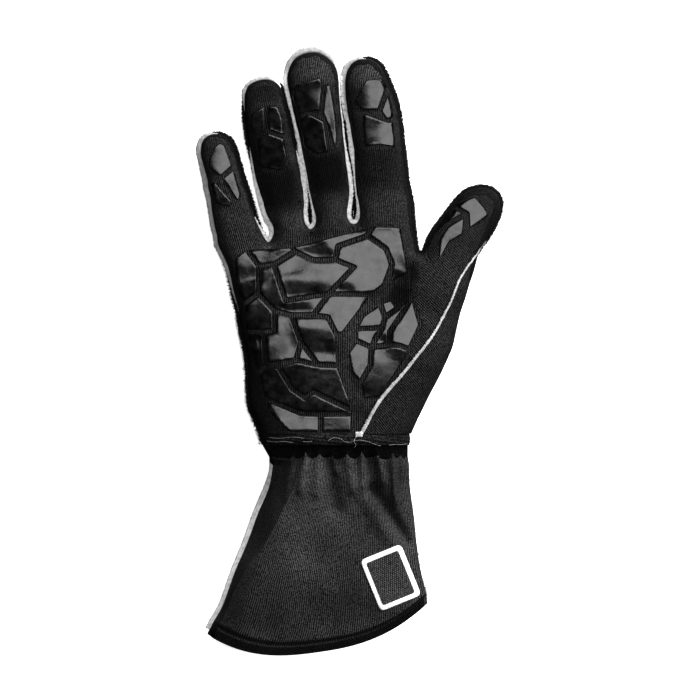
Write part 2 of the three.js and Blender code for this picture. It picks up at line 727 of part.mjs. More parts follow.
// Piping on the left side seam of the cuff
const pipingRows = CUFF_ROWS.slice(CUFF_START, hemStart);
pipingRows.push(rowBetween(CUFF_ROWS[hemStart - 1], CUFF_ROWS[hemStart], PIPING_END));
const cuffEdge = (grow) => pipingRows.map((row) => grownRow(row, grow).left);
const pipingReach = PIPING_WIDTH + GAP;
const pipingShape = strip(cuffEdge(GAP), cuffEdge(pipingReach), -BEYOND / 2, BEYOND / 2);
const pipingSheet = aboveSeams(-SEAM_SHEET / 2).subtract(aboveSeams(SEAM_SHEET / 2));
const clearOfCuff = cuffSolid(cuffRows, CUFF_SHAPE, GAP);
const piping = pipingShape.intersect(pipingSheet).subtract(clearOfCuff);
piece("cuff_piping", mainBody(piping), "light");

// Patch
const overCuff = cuffSolid(cuffRows, CUFF_SHAPE, GAP + PATCH_HEIGHT).subtract(clearOfCuff);
const patchBorder = roundedRectangle(PATCH.width, PATCH.height, PATCH.corner);
const patchField = inset(patchBorder, PATCH.border);
const patchGap = inset(patchBorder, PATCH.border - GAP);
const patchLow = HEM_SEAM_HEIGHT + OVER_FLOOR;
const border = prism(patchBorder, patchLow, BEYOND, patchGap);
piece("patch_border", mainBody(overCuff.intersect(border)), "light");
piece("patch_field", mainBody(overCuff.intersect(prism(patchField, patchLow, BEYOND))), "knit");

// Silicone grip cells
const overSeams = HAND_SEAM_HEIGHT + SEAM_SHEET + 2 * GAP;
const printLayer = wholeHand(GAP + PRINT_HEIGHT).subtract(clearOfHand);
for (const [place, print] of Object.entries(PRINTS)) {
  print.cells.forEach((names, i) => {
    const corners = names.split(" ").map((name) => new THREE.Vector2(...print.corners[name]));
    const cell = prism(inset(corners, CHANNEL / 2), overSeams, BEYOND);
    piece(`${place}_grip_${i + 1}`, mainBody(printLayer.intersect(cell)), "silicone");
  });
}

export default glove;
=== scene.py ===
import math

import bpy
import numpy as np
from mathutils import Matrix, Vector
from mathutils.bvhtree import BVHTree
from mathutils.geometry import delaunay_2d_cdt
from mathutils.kdtree import KDTree


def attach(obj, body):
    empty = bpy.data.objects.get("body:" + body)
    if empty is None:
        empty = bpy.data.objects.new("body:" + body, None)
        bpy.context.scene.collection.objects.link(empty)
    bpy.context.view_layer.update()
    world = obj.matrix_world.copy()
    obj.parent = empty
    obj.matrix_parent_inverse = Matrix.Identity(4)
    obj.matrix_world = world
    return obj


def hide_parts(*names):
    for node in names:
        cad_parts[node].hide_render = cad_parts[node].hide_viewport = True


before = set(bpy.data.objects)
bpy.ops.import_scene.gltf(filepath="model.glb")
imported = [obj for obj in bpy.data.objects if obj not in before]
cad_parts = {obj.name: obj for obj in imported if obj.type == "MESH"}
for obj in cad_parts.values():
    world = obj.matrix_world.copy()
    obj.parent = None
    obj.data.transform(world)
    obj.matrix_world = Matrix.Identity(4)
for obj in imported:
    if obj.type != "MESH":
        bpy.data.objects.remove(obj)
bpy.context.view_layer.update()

MM = 0.001
LIGHT_SIDE = 62.0  # direction of the overhead light, in degrees from +X
SEAM_Z = 9.0  # height of the hand's side seams
HEM_SEAM_Z = 14.0  # height of the side seams at the cuff's mouth
HAND_END, BAND_END, ELASTIC_END, MOUTH = -45.6, -51.7, -58.2, -165.0  # down the middle, in y
HAND_CLOTH, CUFF_CLOTH = 1.1, 1.6  # thickness of the cloth
HAND_LEFT, HAND_RIGHT, HAND_TOP = -85, 86, 168
EDGE_STEP = 0.4  # between two points of the stitched edge
SEAM_STEP = 0.5  # between two points of the thumb's seam
CLOTH_STEP = 0.95  # between two points of the hand's cloth
RELIEF_STEP = 1.0  # between two points of the palm's relief
CUFF_POWER = 2.5  # of the superellipse that the cuff's cross-section follows
random = np.random.default_rng(7)


# Tables


def numbers(text):
    """Rows of numbers, split by commas, each after its name if it has one.

    A row that leaves out its last columns repeats those of the row before."""
    rows = []
    for words in (row.split(":")[-1].split() for row in text.split(",")):
        rows.append([float(word) for word in words] + (rows[-1][len(words) :] if rows else []))
    return np.array(rows)


def table(columns, text):
    """Rows of numbers as a dict of arrays, one for each named column."""
    return dict(zip(columns.split(), numbers(text).T))


# The edge where the hand's cloth is stitched, from the wrist's left side round every
# finger to its right side: x, y, and how far the light and the dark allowance stand out.
EDGE = {
    "before": "-44.5 -75 0 0, -43.5 -63, -44.5 -57",
    "hand_left": """
        -47.2 -52.1 0 1.9, -47 -48.9, -48.6 -43.4, -51.3 -36.9, -54 -30.4, -54.6 -23.9, -55.1 -10.9,
        -56.7 2.2, -58.4 8.7, -60.5 21.7 0.3, -63.3 32.6 1.1 1.7, -64.9 40.2 1.6 1.6, -67.3 47.8 1.9 1.4""",
    "little_left": """
        -69.8 53.2 2.2 1.1, -71.7 57.6 2.4, -72.2 61.9, -73.3 66.2, -74.1 70.6 2.5, -74.9 74.9 2.2,
        -75.5 79.3 2.4, -76 83.6 2.7, -77.1 88, -77.6 92.3, -78.7 96.7, -79.8 101 2.4, -80.9 105.3,
        -81 109.7 2.7, -80.1 113.5 2.4, -78.2 115.7 2""",
    "little_tip": "-75.5 117 1.2 1.1, -72.2 117.5 0.3 1.2, -68.7 116.4 0 1.6, -66 114.2 0 2.1, -64.1 111.3",
    "little_right": """
        -62.7 107.5 0 2.1, -61.4 103.2, -60 98.8, -58.9 94.5, -57.6 90.1, -55.9 85.8, -54.6 81.5,
        -53.2 77.1 0 2, -51.9 72.8 0.2 1.8, -50.2 68.4 0.9 1.6, -48.4 64.6 1.4 1.4""",
    "little_ring": "-46.7 61.4 1.7 1.4, -44.4 58.6 1.6 1.3, -42.4 61.1 2",
    "ring_left": """
        -41.5 64.6 2.4 1.2, -42.1 67.9 2.8 1.1, -44.2 71.4, -45.8 74.9 2.6, -46.9 79.3 2.8, -48.3 83.6 2.4,
        -49.7 88 2.2, -51 92.3 1.6, -51.9 96.7 1.4, -52.7 101 1.1 1.3, -53.5 105.3 0.9 1.4,
        -54.3 109.7 0.3 1.7, -55.4 114 0, -55.9 118.4, -56.5 122.7, -57 127.1 0.1, -57.2 131.4 0.4 1.6,
        -57.4 135.8 1.3 1.3, -56.8 140.1 2 1.1, -55.1 143.6""",
    "ring_tip": "-51.9 145.7 1.8 1.1, -48.3 146.8, -45.1 147, -41.8 146.2 1.6, -38.9 144.1 1.1 1.4",
    "ring_right": """
        -36.9 141.2 0 1.7, -35.7 137.4 0 1.6, -34.8 133.6, -33.7 129.2, -32.6 124.9, -31.8 120.5, -30.7 116.2,
        -29.9 111.9, -29.1 108.1 0.3, -28.5 104.3 1.2, -27.9 100.5 2.5, -27 96.7 2.7, -26.6 92.3 2.9,
        -25.7 88 2.5, -25.2 83.6 2.3, -24.9 79.3 2.2, -25.2 74.9 2.3, -24.9 71.1, -24 68.1 2.2""",
    "ring_middle": "-21.5 65.7 2.3 1.6, -19 68.1 2.1",
    "middle_left": """
        -18.5 71.1 2.1 1.6, -19.2 74.9 1.7, -20.4 79.3 1, -21.4 83.6 0.8, -22.3 88, -22.9 92.3,
        -23.6 96.7 0.9 1.5, -24.5 101 1.2 1.4, -25.4 104.8 2.2 1.3, -26.1 108.6 2.5 1.2, -26.9 112.9 2 1.1,
        -27.8 117.3 2.2, -29.1 122.2 1.8, -30.2 127.1 1.7, -31.3 131.4 1.8, -32.1 135.8 2.2, -33.1 140.1,
        -34 144.4 2.1, -34.1 148.8 2, -33 153.1 2.5, -30.6 157.5 2.7""",
    "middle_tip": "-26.8 160.3 3.3 1.1, -22.8 161.6, -19 161.8 3, -15.2 160.7 2.7, -11.6 158.3 2.4",
    "middle_right": """
        -9.1 155.8 2 1.1, -7.4 152.6 1.6, -6.4 148.8 1 1.3, -6 144.4 0.5 1.4, -5.8 140.1, -5.5 135.8,
        -5.2 131.4, -4.7 127.1 0.7, -4.2 122.7 0.9 1.5, -3.9 118.4 1, -3.4 114 0.9, -2.9 110.2 1.1,
        -2.6 106.4 1.5, -2.2 102.1 2 1.6, -1.5 97.7 2.2, -0.9 92.9 2.3, -0.4 88, -0.4 83.6 2.2, -1 79.3 2.4,
        -1.7 74.9 2.5, -1.2 71.4 2.4""",
    "middle_index": "0.9 68.7 2.4 1.6, 3.5 68.9 2.2",
    "index_left": """
        5.1 71.7 2.1 1.6, 5.3 75.5 1.8, 4.7 79.8 1.4, 3.8 84.2 1, 3.3 88.5 0.9, 2.9 92.9 1, 2.7 97.2 1.1 1.5,
        2.5 101 1.6 1.4, 2.4 104.8 2.2 1.3, 2.2 108.6 2.9 1.2, 1.3 113.5 2.2 1.1, 0.5 118.4 2.1, -0.2 123.3,
        -1.2 128.1 2.3, -1.8 133 2.6, -2.4 137.9 2.7, -2.6 142.8, -2.5 147.7 2.9, -1.4 152, 0.9 155.5 2.2""",
    "index_tip": "4 157.6 1.3 1.1, 7.4 158.2 0.4, 10.9 157.9 0 1.4, 13.9 156.5 0 1.8",
    "index_right": """
        16.5 153.9 0 2.1, 18.8 149.9, 20.6 145.5, 22.4 141.2, 23.9 136.8, 25.1 132.5, 26 128.1, 26.7 123.3,
        27.5 118.4, 27.8 113.5, 28.5 108.6, 29 103.7, 29.6 98.8, 30.2 93.9, 30.8 89.1, 32 84.2, 32.8 79.3,
        33.2 74.4, 33.6 69.5, 34.2 64.6 0 2, 35.1 59.7 0 1.7, 35.8 55.9 0 1.4""",
    "web": "37.2 52.9 0 1.2, 38.9 52.5",
    "thumb_left": """
        40.7 54.8 0 1.4, 42.6 59.2 0 1.6, 44.5 63 0 1.7, 47.5 67.3 0 1.8, 50.4 71.1, 53.4 75.2, 56.1 78.7,
        59.1 82.2, 62.4 85.3, 65.9 87.1""",
    "thumb_tip": "69.7 88.1 0 1.8, 73.6 88, 77.1 86.8, 79.8 84.5, 81.3 81.5",
    "thumb_right": "81.5 78.2 0 1.8, 80.8 74.4, 79.3 70.3, 77.3 66.2, 74.9 62.1 0 1.7, 72.5 58.1 0 1.4",
    "hand_right": """
        70.6 53.8 0 0.4, 69.2 50 0 0, 67.3 42.9, 64.9 35.8, 62.7 28.2, 60.5 21.7, 58.8 15.2, 57.4 8.7,
        55.7 1.6, 53 -4.9, 50 -11.4, 46.7 -17.9, 43.2 -24.4, 40 -31, 36.8 -37.5, 33.9 -44, 31.8 -48.9,
        31.5 -52.1""",
    "after": "32 -57 0 0, 32 -63, 32.5 -75",
}
CROTCHES = ["little_ring", "ring_middle", "middle_index"]
BETWEEN_LONG_FINGERS = "ring_right ring_middle middle_left middle_right middle_index index_left".split()

# Crown of the palm side: where its middle runs, its height and the width of its shoulder.
CROWN = table("x y top shoulder", """
    -54.5 45 17 10, -59 59 16.6 10.4, -64 76 16 10.8, -68.5 92.5 15.5 9.8, -71.5 108 14.5 8.4, -33 50 19 10,
    -33.5 66 18.3, -37.5 84.5 17.5 10.6, -41.5 107.5 17 11.2, -47 137 16 9.6, -10.5 53 19.2 10,
    -11 70 18.6 10.4, -12 86 18 10.8, -15 109.5 17.5 11.4, -19 143 16.5 12.4, 18 55 19.2 14.5,
    18.5 71 18.6 14.2, 17.5 87 18 13.8, 15 109.5 17.5 13, 11 141 16.5 11.4, 46 25 22 14, 51 38 21.5 13.8,
    55 49.5 21 13.2, 59 63.5 20 12, 66 72 18.5 11.4, 70 78 17 10.4, -54 28 22.3 18, -30 33 22.8 22,
    -10 33 22.9, 10 34, 28 36 21.8 20, -45 8 25 22, -25 8 26.2 24, 0 6, 25 4, 42 5 24.5 20, -40 -20 25.2 22,
    -20 -20 26.2 24, 0 -20, 25 -20 25.2 22, -36 -40 25 20, -15 -42 25.5 22, 5 -42, 24 -40 25 20, -34 -60 24,
    -8 -60 24 22, 20 -60 24 20""")

# Folds of the palm and the cuff: a ridge has a positive height, a valley a negative one.
PALM_FOLDS = table("fromX fromY toX toY width height", """
    thumb base crease: 31 43 17 8 6 -3, arc round the ball of the thumb: 12 27 -1 -19 7 -1.5,
    arc's upper end: 30 41 12 27 5 -1.5""")
CUFF_FOLDS = table("fromX fromY toX toY width height", """
    middle valley: -11 -61 -8 -86 4.5 -3.8, right valley upper part: 11.4 -60 12.3 -76 3.4 -3.4,
    right valley lower part: 12.3 -76 31 -104 3.8 -4.6, long ridge: 6 -74 21 -100 5 2.2,
    short ridge: 22 -59 24.6 -82 2.6 1.6, left hollow: -37 -64 -52 -98 5 -1.2,
    lower swelling: -33 -110 -15 -100 22 1.2""")
# Crests of the gathers under the elastic.
GATHERS = table("fromX fromY toX toY width height", """
    -31 -56 -35 -80 2 1.3, -24 -56 -27 -76 2.2 1.8, -16.6 -55.5 -18 -78 2.8 1.6, -10.2 -55.5 -7.5 -66 1.7 1.3,
    -1.6 -57 1.5 -76 2.4 1.6, 6.5 -55 7.5 -74 2 1.9, 14.2 -55 18.5 -72 2.2 1.4, 23.3 -56.5 24.5 -80 1.5 1.6,
    27.4 -55.5 28.2 -68 1.6 1.4""")
# The cuff from the wrist to its mouth: left x, y, right x, y, top and bow.
CUFF_ROWS = numbers("""
    -45.5 -52 32 -52 23 0, -44.5 -55.5 31.5 -55.5 22 0, -43.5 -58.2 31.5 -58.2 23.5 0, -43 -63 32 -63 26 0,
    -45 -75 32.5 -74 29 -1, -51 -89.5 34.5 -88.5 31.5 -2.5, -56.5 -105 36 -103 33.5 -5,
    -63 -121 38 -117.5 35 -8.5, -69 -138 40.5 -128 36 -14, -74.5 -148 41.5 -132.5 36.5 -18,
    -77.5 -154 42 -137.5 36 -18""")
ELASTIC_ROW, MOUTH_ROW = 2, len(CUFF_ROWS) - 1
# The stitched groove just above the hem: its place in the rows above, its width and depth.
GROOVE = {"row": 8.98, "width": 0.13, "depth": 0.8}
# The gathers reach up over the elastic like flames.
FLAMES = {"rise": 4.2, "least": 0.8, "sink": 1.3, "fade": 3.0}
FRONT_GRID, BACK_GRID = (130, 221), (90, 121)  # rows and columns of the cuff's cloth
# The sharp crease down the cuff's left side, from the elastic to the mouth.
CREASE = table("x y", """
    -73.5 -150, -66 -135, -56.5 -118.4, -48.3 -108, -41.5 -96.7, -32.6 -79.3, -24.1 -57.6""")
# Painted light and shade on the cuff's knit: lighter where above 0, darker where below 0.
CUFF_PAINTED_SHADING = table("x y halfX halfY tone", """
    middle: -27 -112 15 14 0.8, under the elastic: -19 -70 6 14 0.7, right of the middle: 4 -108 12 18 -0.4,
    lower right: 4 -140 32 18 -1.3, lower left: -48 -143 24 14 -1.3, middle valley: -10 -73 4 13 -1.3,
    right top: 26 -68 7 14 -1.3, long ridge: 14 -85 6 12 -0.9, left plane: -47 -85 9 30 -1.6,
    left plane's foot: -64 -128 9 22 -1.6""")

# The thumb's seam: x, y and width.
THUMB_SEAM = numbers("""
    73.8 59.2 1, 69 52 1.1, 63.3 44.3 1.2, 59.7 38.6 1.3, 57 32 1.4, 54.3 25.2 1.4, 51.4 19.6 1.5,
    48.2 13.4 1.6, 43.6 6 1.7, 36 -3.6 1.8, 29.9 -11.4 1.9, 23.4 -18.9 2, 17.9 -25.2 2.1, 12.6 -33.1 2.1,
    8.9 -40.3 2.2, 6.2 -45.2 2.2""")
SEAM_START, SEAM_FOOT = (77.5, 64.2), (5.2, HAND_END)  # where it leaves the cloth
SEAM_RIBS = 1.5  # from one of its ribs to the next
TAG = numbers("2.7 -47.4, 6.8 -47.4, 6.8 -44.3, 2.7 -44.3")
TAG_Z, BAND_Z = 25.3, 25.8  # heights of the tag's foot and of the wrist band's top
THUMB_PANEL_EDGE = numbers("38 60, 38 56, 34.5 48, 33.5 29, 38.5 13.5, 33 1, 32 -4, 24 -17.5")
# The middle of each finger, along which its knit's ribs run.
FINGER_MIDDLES = {
    "little": "42 -54.5, 59 -59, 76 -64, 92 -68.5, 108 -71.5, 120 -73",
    "ring": "42 -33, 66 -33.5, 84 -37.5, 107 -41.5, 137 -47, 150 -49",
    "middle": "42 -10.5, 70 -11, 86 -12, 109 -15, 143 -19, 166 -21",
    "index": "42 18, 71 18.5, 87 17.5, 109 15, 141 11, 160 9",
}

# The grip print. Corners lie in the middle of the channels between cells. After a cell's
# corners stands how it lies, in degrees: its lean towards the upper right, and how much that
# grows in 10 mm towards the upper right and towards the upper left.
PRINTS = {
    "palm": (
        """A -56.5 55, B -49.5 45.5, C -41.5 46.5, D -30 53.5, E -20 49, F -8 49, G -6.5 56.5, H 9 62,
        I 12.5 67.5, J 28 67, K 32 41.5, L 21 36, M 23 46.5, N 19.5 55, O 2 45, P -11.5 30.5, Q 12 30,
        R 19 35.5, S -35 27, T -20 19, U -41 21.5, V -32 19, W -12 18, X -7.5 9, Z -4 9, a -50 30.5,
        b -57.5 25, c -58 10, d -41 10.5, e -47 10, f -26.5 4, g -29.5 -5.5, h -46 -8.5, i -17.5 -8,
        j -6.5 -8.5, l -55 1, m -50 -13, n -39 -9, o -31.5 -21, p -24.5 -26, q -20 -22.5, r 1.5 -33,
        s 0.5 -28, t -46.5 -26.2, u -27 -34.4, v -16 -34.9, w 1.5 -34.6, x 1 -44.8, y -16 -44.8,
        z -33.5 -44.8, aa -43 -35, bb -63 50, cc -62 31.5, dd -31.5 56""",
        """B C S P T V U a: -6 0 0, C D E F O P S: 3.5, G H N M R Q P O F: 3.5, I J K L M N H: 2.5,
        D E F G H I dd: -5.5, A dd D C B: 0.3 1, bb A B a b cc: -6 0, b a U d e c: -3, U V f g h e d: 4,
        V W X j i f: -4, P Q Z X W T: 4, c e h m l: -2.5, f i g: 3.5, h n o p q r w v u t m: -3,
        n g i j s r q p o: -3, t u v y z aa: 4, v w x y: -0.2""",
    ),
    "thumb_ball": (
        """A 16.5 25.5, B 19 18, C 17.5 12, D 3.5 11.5, E 7 18.5, F 3.5 5, G 11.5 1.5, H 21 3, I 21.5 10,
        J 29.5 22, K 33.5 29.5, L 38 13.5, M 32 0.5, N 27 2.5, O -1 -1.5, P 0.5 -12, Q 5.5 -18, R 11 -8.5,
        S 31 -3.5, T 16.5 -26, U 7.5 -26.5, V 25.5 22.5, X 22.5 27.5""",
        """A B C D E: 4 0 0, A X V B: 3, D C G F: 4, B V K J I H G C: -13, J K L M N H I: 4, F G R Q P O: 4,
        G H N M S T U Q R: -5""",
    ),
    "index": (
        """A 8.5 147, B 18 148, C 21 142.5, D 16 129.5, E 7 129, F 1.5 135, G 23.8 132, H 23.9 125,
        I 19.5 124.5, K 25.5 109.5, L 16.5 111, M 7.5 110, N 6.5 125""",
        "A B C D E F: 1.5 4 -6, C G H I D: 5 0 0, E I H K L M N: -6",
    ),
    "middle": (
        """A -30.5 144, B -16 148.5, C -14 144, D -15.5 129.5, E -27.5 126.5, F -32 137, G -10 144.5,
        H -7 127, I -6 115, J -8.5 107.5, K -13 124, L -23 129, N -18 106, O -25.5 110, P -10.8 107.2""",
        "A B C D L E F: -6 0 0, C G H I J K D: -3.5, E L K P N O: -10",
    ),
    "ring": (
        """A -54 129, B -45.5 133.5, C -45 119, D -50.5 115.5, E -54.5 119.5, F -38.5 132.5, G -36 125,
        H -35.5 115.5, J -33.5 104.5, K -37 97, L -49.5 99""",
        "A B C D E: -6 0 0, B F G H C: -12, D C H J K L: -14",
    ),
    "little": (
        """A -71 113, B -67.5 111.5, C -63 99.5, D -70 93.5, E -77 98.5, F -77 104.5, G -73.5 111,
        H -58.5 83.5, I -61 80, K -77.2 91.3, N -65 77, O -73.5 79, P -73 91.4, Q -63.6 80.8""",
        "A B C D E F G: 1.5 4 -6, C H I D: 2 0 0, K P Q N O: -3",
    ),
    "thumb": (
        """A 67.5 84, B 73 78, C 76.5 73, D 64 65, E 63.5 74, F 55 78.5, I 53 68.5, J 42.5 60, K 62 63,
        L 54 58, M 48 47, N 48 61.5""",
        "A B C D E F: 4 0 0, F E I J: 2, E K L M N I: 2",
    ),
}
# Dents and swellings of the cells: an oval and its lean to the upper right.
DENTS = table("x y halfX halfY lean", """
    palm 1 right tip: -17.4 25.5 3.5 3 3, palm 1 top: -44.5 42.7 3.2 2.6 1,
    palm 2 lower half: -22.8 32.6 15 6.8 -8, palm 3 middle: 14.6 45.7 5.6 4.8 -6,
    palm 3 lower left: -2.3 34.3 5.6 3.8 -8, palm 4 top right: 24.5 63 4 3.5 -1,
    palm 4 right: 26.6 51.8 2.4 6 -1, palm 4 bottom: 25 40.5 5 3.4 -8, palm 5 middle: -8.3 58.7 4.5 3.2 3,
    palm 5 right: 4.8 64 4.5 2.6 4, palm 7 top: -58.4 50 6 5 0.6, palm 8 streak: -52.2 24 1.8 6 4,
    palm 9 right: -30 6 2.6 4.5 -4, palm 10 top: -20.4 15 11 3.6 4, palm 10 bottom: -13.6 -4 6.5 2.8 4,
    palm 12 blob: -51 4 3.2 3 5, palm 16 left end: -42 -34 3.5 3.5 0,
    thumb ball 2 right: 23.2 22.6 2.6 3.6 -4, thumb ball 5 top: 32.7 24 3 3.4 -2,
    thumb ball 7 upper left: 15.2 -2.2 4 4 1.5, index 3 lower right: 21.8 113.5 5 4.6 4,
    index 3 right: 20.6 119.8 4.2 4 1, middle 1 right: -18 138.5 3 5.5 -0.5""")
# How the bare knit lies: an oval, its lean to +Y, and its tone, which is painted light above 0,
# where the knit is lighter, and painted shade below 0, where it is darker.
KNIT_LEANS = table("x y halfX halfY lean tone", """
    index base: 19 77 15 10 9 0.5, index middle: 15 100 15 13 -14 -1.1, index tip: 10 151 10 8 20 2,
    index cells: 14 127 9 14 0 -0.3, middle base: -10 74 11 9 7 0.2, middle middle: -12 97 11 13 -21 -2.9,
    middle cells: -20 127 12 16 -4 -1.3, middle tip: -19 153 11 7 16 1.6, ring base: -34 67 11 9 8 0.5,
    ring middle: -38 88 11 13 -20 -2.8, ring cells: -45 115 11 17 -5 -2.3, ring tip: -46 140 9 5 0 -1.4,
    little base: -61 64 9 12 3 0.4, under the middle's crotch: -21 62 7 5 -9 -1,
    under the index's crotch: 3 65 7 5 -9 -1, right of the index's base: 32 44 5 6 -8 -0.8,
    thumb's middle: 54 45 10 13 9 0.5, thumb's base: 28 27 7 9 -13 -2.2,
    under the thumb's base: 23 9 5 6 -9 -1.8, hand's left side: -52 -20 8 30 0 -0.7,
    beside the thumb's ball: 1 6 5 14 0 0.5""")
# More painted light (lighter) and painted shade (darker) on the hand's knit, on the same scale.
KNIT_PAINTED_SHADING = table("x y halfX halfY tone", """
    index tip: 10 151 10 8 0.8, middle tip: -19 153 11 7 0.6, under the little's crotch: -44 53 9 5 0.5,
    little: -66 84 9 26 0.4, under the ring's crotch: -21 56 8 4 0.4, beside the thumb's ball: 1 6 5 14 0.6,
    fold's top: 33 41 4.5 6 -1.5, fold: 27 33 4.5 6 -1.3, fold's middle: 21 24 4 6 -1.6,
    fold's foot: 16 13 3.5 6 -1, side panel: 52 8 14 24 0.3, thumb's middle: 54 45 10 13 0.2""")
# How wide a dark band lies inside the edge: partly the dark seam's own cloth, partly painted shade where the
# cloth turns down at the edge.
SEAM_BAND_AND_PAINTED_SHADE = table("x y width", """
    little's tip: -71 117 1.8, little's right side: -58 92 1.6, ring's tip: -46 147 2,
    ring's right side: -31 116 1.6, middle's tip: -20 162 2.6, middle's right side: -5 125 1,
    index's tip: 8 158 3.2, index's right side: 26 125 0.6, index's base: 33 72 1.8,
    thumb's left side: 53 74 2.2, thumb's tip: 75 88 4, thumb's right side: 78 68 3.6,
    little's left side: -77 90 0, ring's left side: -50 90 0, middle's left side: -26 110 0,
    index's left side: 0 120 0, hand's left side: -55 0 0.6, ring's crotch: -21.5 66 0,
    index's crotch: 2 69 0, little's crotch: -44 59 0, web: 38 53 1, wrist: -47 -45 0.4, side panel: 60 22 0,
    side panel's end: 72 56 2, side panel's foot: 35 -40 0""")
PRINT_HEIGHT = 0.6
CHANNEL = 2.2  # between two cells
RIM_GAP = 0.6  # from a cell's charted side where no other cell is beside it
PATCH = {"x": 22, "y": -123.5, "width": 24, "height": 30, "tilt": 22, "corner": 3, "border": 2.6}
FIELD_CORNER = 1.2  # of the patch inside its border

# Loose threads on the wrist band: x, y.
THREADS = {
    "left": "-45.1 -49.4, -40 -49.9, -36 -49.6, -31 -50.2",
    "middle": "-25.5 -49.5, -23.3 -49.9, -20.5 -49.4",
    "beside the tag": """
        -12 -49, -8.3 -47.6, -5 -48.2, -2.7 -49.7, 0.5 -49.9, 4.3 -48.9, 9.8 -49.7, 13.5 -51.2, 16.8 -52""",
    "right": "21 -51.6, 24 -51.2, 28 -51.3, 31 -50.8",
    "tag's end": "3.5 -46.8, 2.2 -49.5, 3.2 -51.5, 2.4 -53",
    "fold": "-44 -47.5, -38 -47.9, -31 -47.2, -25 -47.8",
}


# Curves and fields


def travelled(line):
    """How far along a line each of its points lies."""
    return np.r_[0, np.cumsum(np.hypot(*np.diff(line, axis=0).T))]


def unit(vectors):
    return vectors / np.linalg.norm(vectors, axis=1)[:, None]


def left_of(vectors):
    return np.c_[-vectors[:, 1], vectors[:, 0]]


def outward(path):
    """Unit vectors to the left of a path's direction."""
    return left_of(unit(np.gradient(path[:, :2], axis=0)))


def hermite(rows, slope, i, t, span=1.0):
    """The smooth curve from row i to the next one, at the share t of the span between them."""
    return (
        (2 * t**3 - 3 * t**2 + 1) * rows[i] + (t**3 - 2 * t**2 + t) * span * slope[i]
        + (-2 * t**3 + 3 * t**2) * rows[i + 1] + (t**3 - t**2) * span * slope[i + 1]
    )


def resample(rows, step):
    """A smooth curve through rows of x, y and further columns, with even steps."""
    length = travelled(rows[:, :2])
    at = np.linspace(0, length[-1], int(length[-1] / step) + 1)
    i = np.clip(np.searchsorted(length, at, "right") - 1, 0, len(rows) - 2)
    span = (length[i + 1] - length[i])[:, None]
    t = ((at - length[i])[:, None]) / span
    curve = hermite(rows, np.gradient(rows, length, axis=0), i, t, span)
    curve[:, 2:] = (1 - t) * rows[i][:, 2:] + t * rows[i + 1][:, 2:]
    return curve, at


def smoothstep(low, high, value):
    t = np.clip((value - low) / (high - low), 0, 1)
    return t * t * (3 - 2 * t)


def superellipse(out, power):
    """A rounded form's height: 1 over its middle, where out is 0, and 0 at its rim."""
    return (1 - out**power) ** (1 / power)


def oval(x, y, middle_x, middle_y, half_x, half_y, power=4):
    """1 inside an oval and 0 outside it, with a soft border."""
    return np.exp(-(((x - middle_x) / half_x) ** power) - ((y - middle_y) / half_y) ** power)


def folds_height(folds, x, y):
    p = np.c_[x, y]
    height = np.zeros(len(p))
    for from_x, from_y, to_x, to_y, width, rise in zip(*folds.values()):
        start = np.array([from_x, from_y])
        way = np.array([to_x, to_y]) - start
        share = np.clip(((p - start) @ way) / (way @ way), 0, 1)
        distance = np.linalg.norm(p - (start + share[:, None] * way), axis=1)
        height += rise * np.exp(-((distance / width) ** 2))
    return height


def ripples(x, y, wavelength, seed):
    """A soft random field of about unit height made of plane waves."""
    draw = np.random.default_rng(seed)
    total = np.zeros(len(x))
    waves = 7
    for _ in range(waves):
        angle, phase = draw.uniform(0, 2 * math.pi, 2)
        size = wavelength * draw.uniform(0.7, 1.5)
        total += np.sin((x * math.cos(angle) + y * math.sin(angle)) * 2 * math.pi / size + phase)
    return total / math.sqrt(waves / 2)


def in_chunks(function, points, size=1500):
    return np.concatenate([function(points[i : i + size]) for i in range(0, len(points), size)])


def square_distances(points, places):
    return (points[:, 0][:, None] - places[0]) ** 2 + (points[:, 1][:, None] - places[1]) ** 2


def gaps_to(points, starts, ways):
    """The shortest way to each point from each segment, given by its start and its way."""
    t = np.clip(((points[:, None] - starts) * ways).sum(2) / (ways**2).sum(1), 0, 1)
    return (points[:, None] - starts) - t[..., None] * ways


edge_rows = [numbers(text) for text in EDGE.values()]
row_at = travelled(np.vstack(edge_rows)[:, :2])
edge, edge_at = resample(np.vstack(edge_rows), EDGE_STEP)
nearest_row = np.argmin(np.abs(edge_at[:, None] - row_at[None]), axis=1)
edge_label = np.repeat(list(EDGE), [len(rows) for rows in edge_rows])[nearest_row]
edge_normal = outward(edge)
beside_hand = ~np.isin(edge_label, ["before", "after"])

edge_tree = KDTree(len(edge))
for station, (x, y) in enumerate(edge[:, :2]):
    edge_tree.insert((x, y, 0), station)
edge_tree.balance()

# 1 where the edge lies in the valley between two fingers, 0 where it is open
far_along = np.abs(edge_at[:, None] - edge_at[None, ::4]) > 12
apart = np.linalg.norm(edge[:, None, :2] - edge[None, ::4, :2], axis=2)
edge_valley = 1 - smoothstep(5, 11, np.where(far_along, apart, np.inf).min(1))
edge_valley[np.isin(edge_label, CROTCHES)] = 1
# the light reaches into the top of the valley beside the index finger
edge_valley *= 1 - 0.9 * (edge_label == "index_left") * smoothstep(118, 140, edge[:, 1])


def nearest_station(points):
    return np.array([edge_tree.find((x, y, 0))[1] for x, y in points[:, :2]])


def signed_distance(points):
    """Exact distance to the stitched edge, positive inside the hand."""
    near = nearest_station(points)
    best = np.full(len(points), np.inf)
    for first in (np.maximum(near - 1, 0), np.minimum(near, len(edge) - 2)):
        a, ab = edge[first, :2], edge[first + 1, :2] - edge[first, :2]
        t = np.clip(((points - a) * ab).sum(1) / (ab**2).sum(1), 0, 1)
        best = np.minimum(best, np.linalg.norm(points - a - t[:, None] * ab, axis=1))
    outside = ((points - edge[near, :2]) * edge_normal[near]).sum(1) > 0
    return np.where(outside, -best, best)


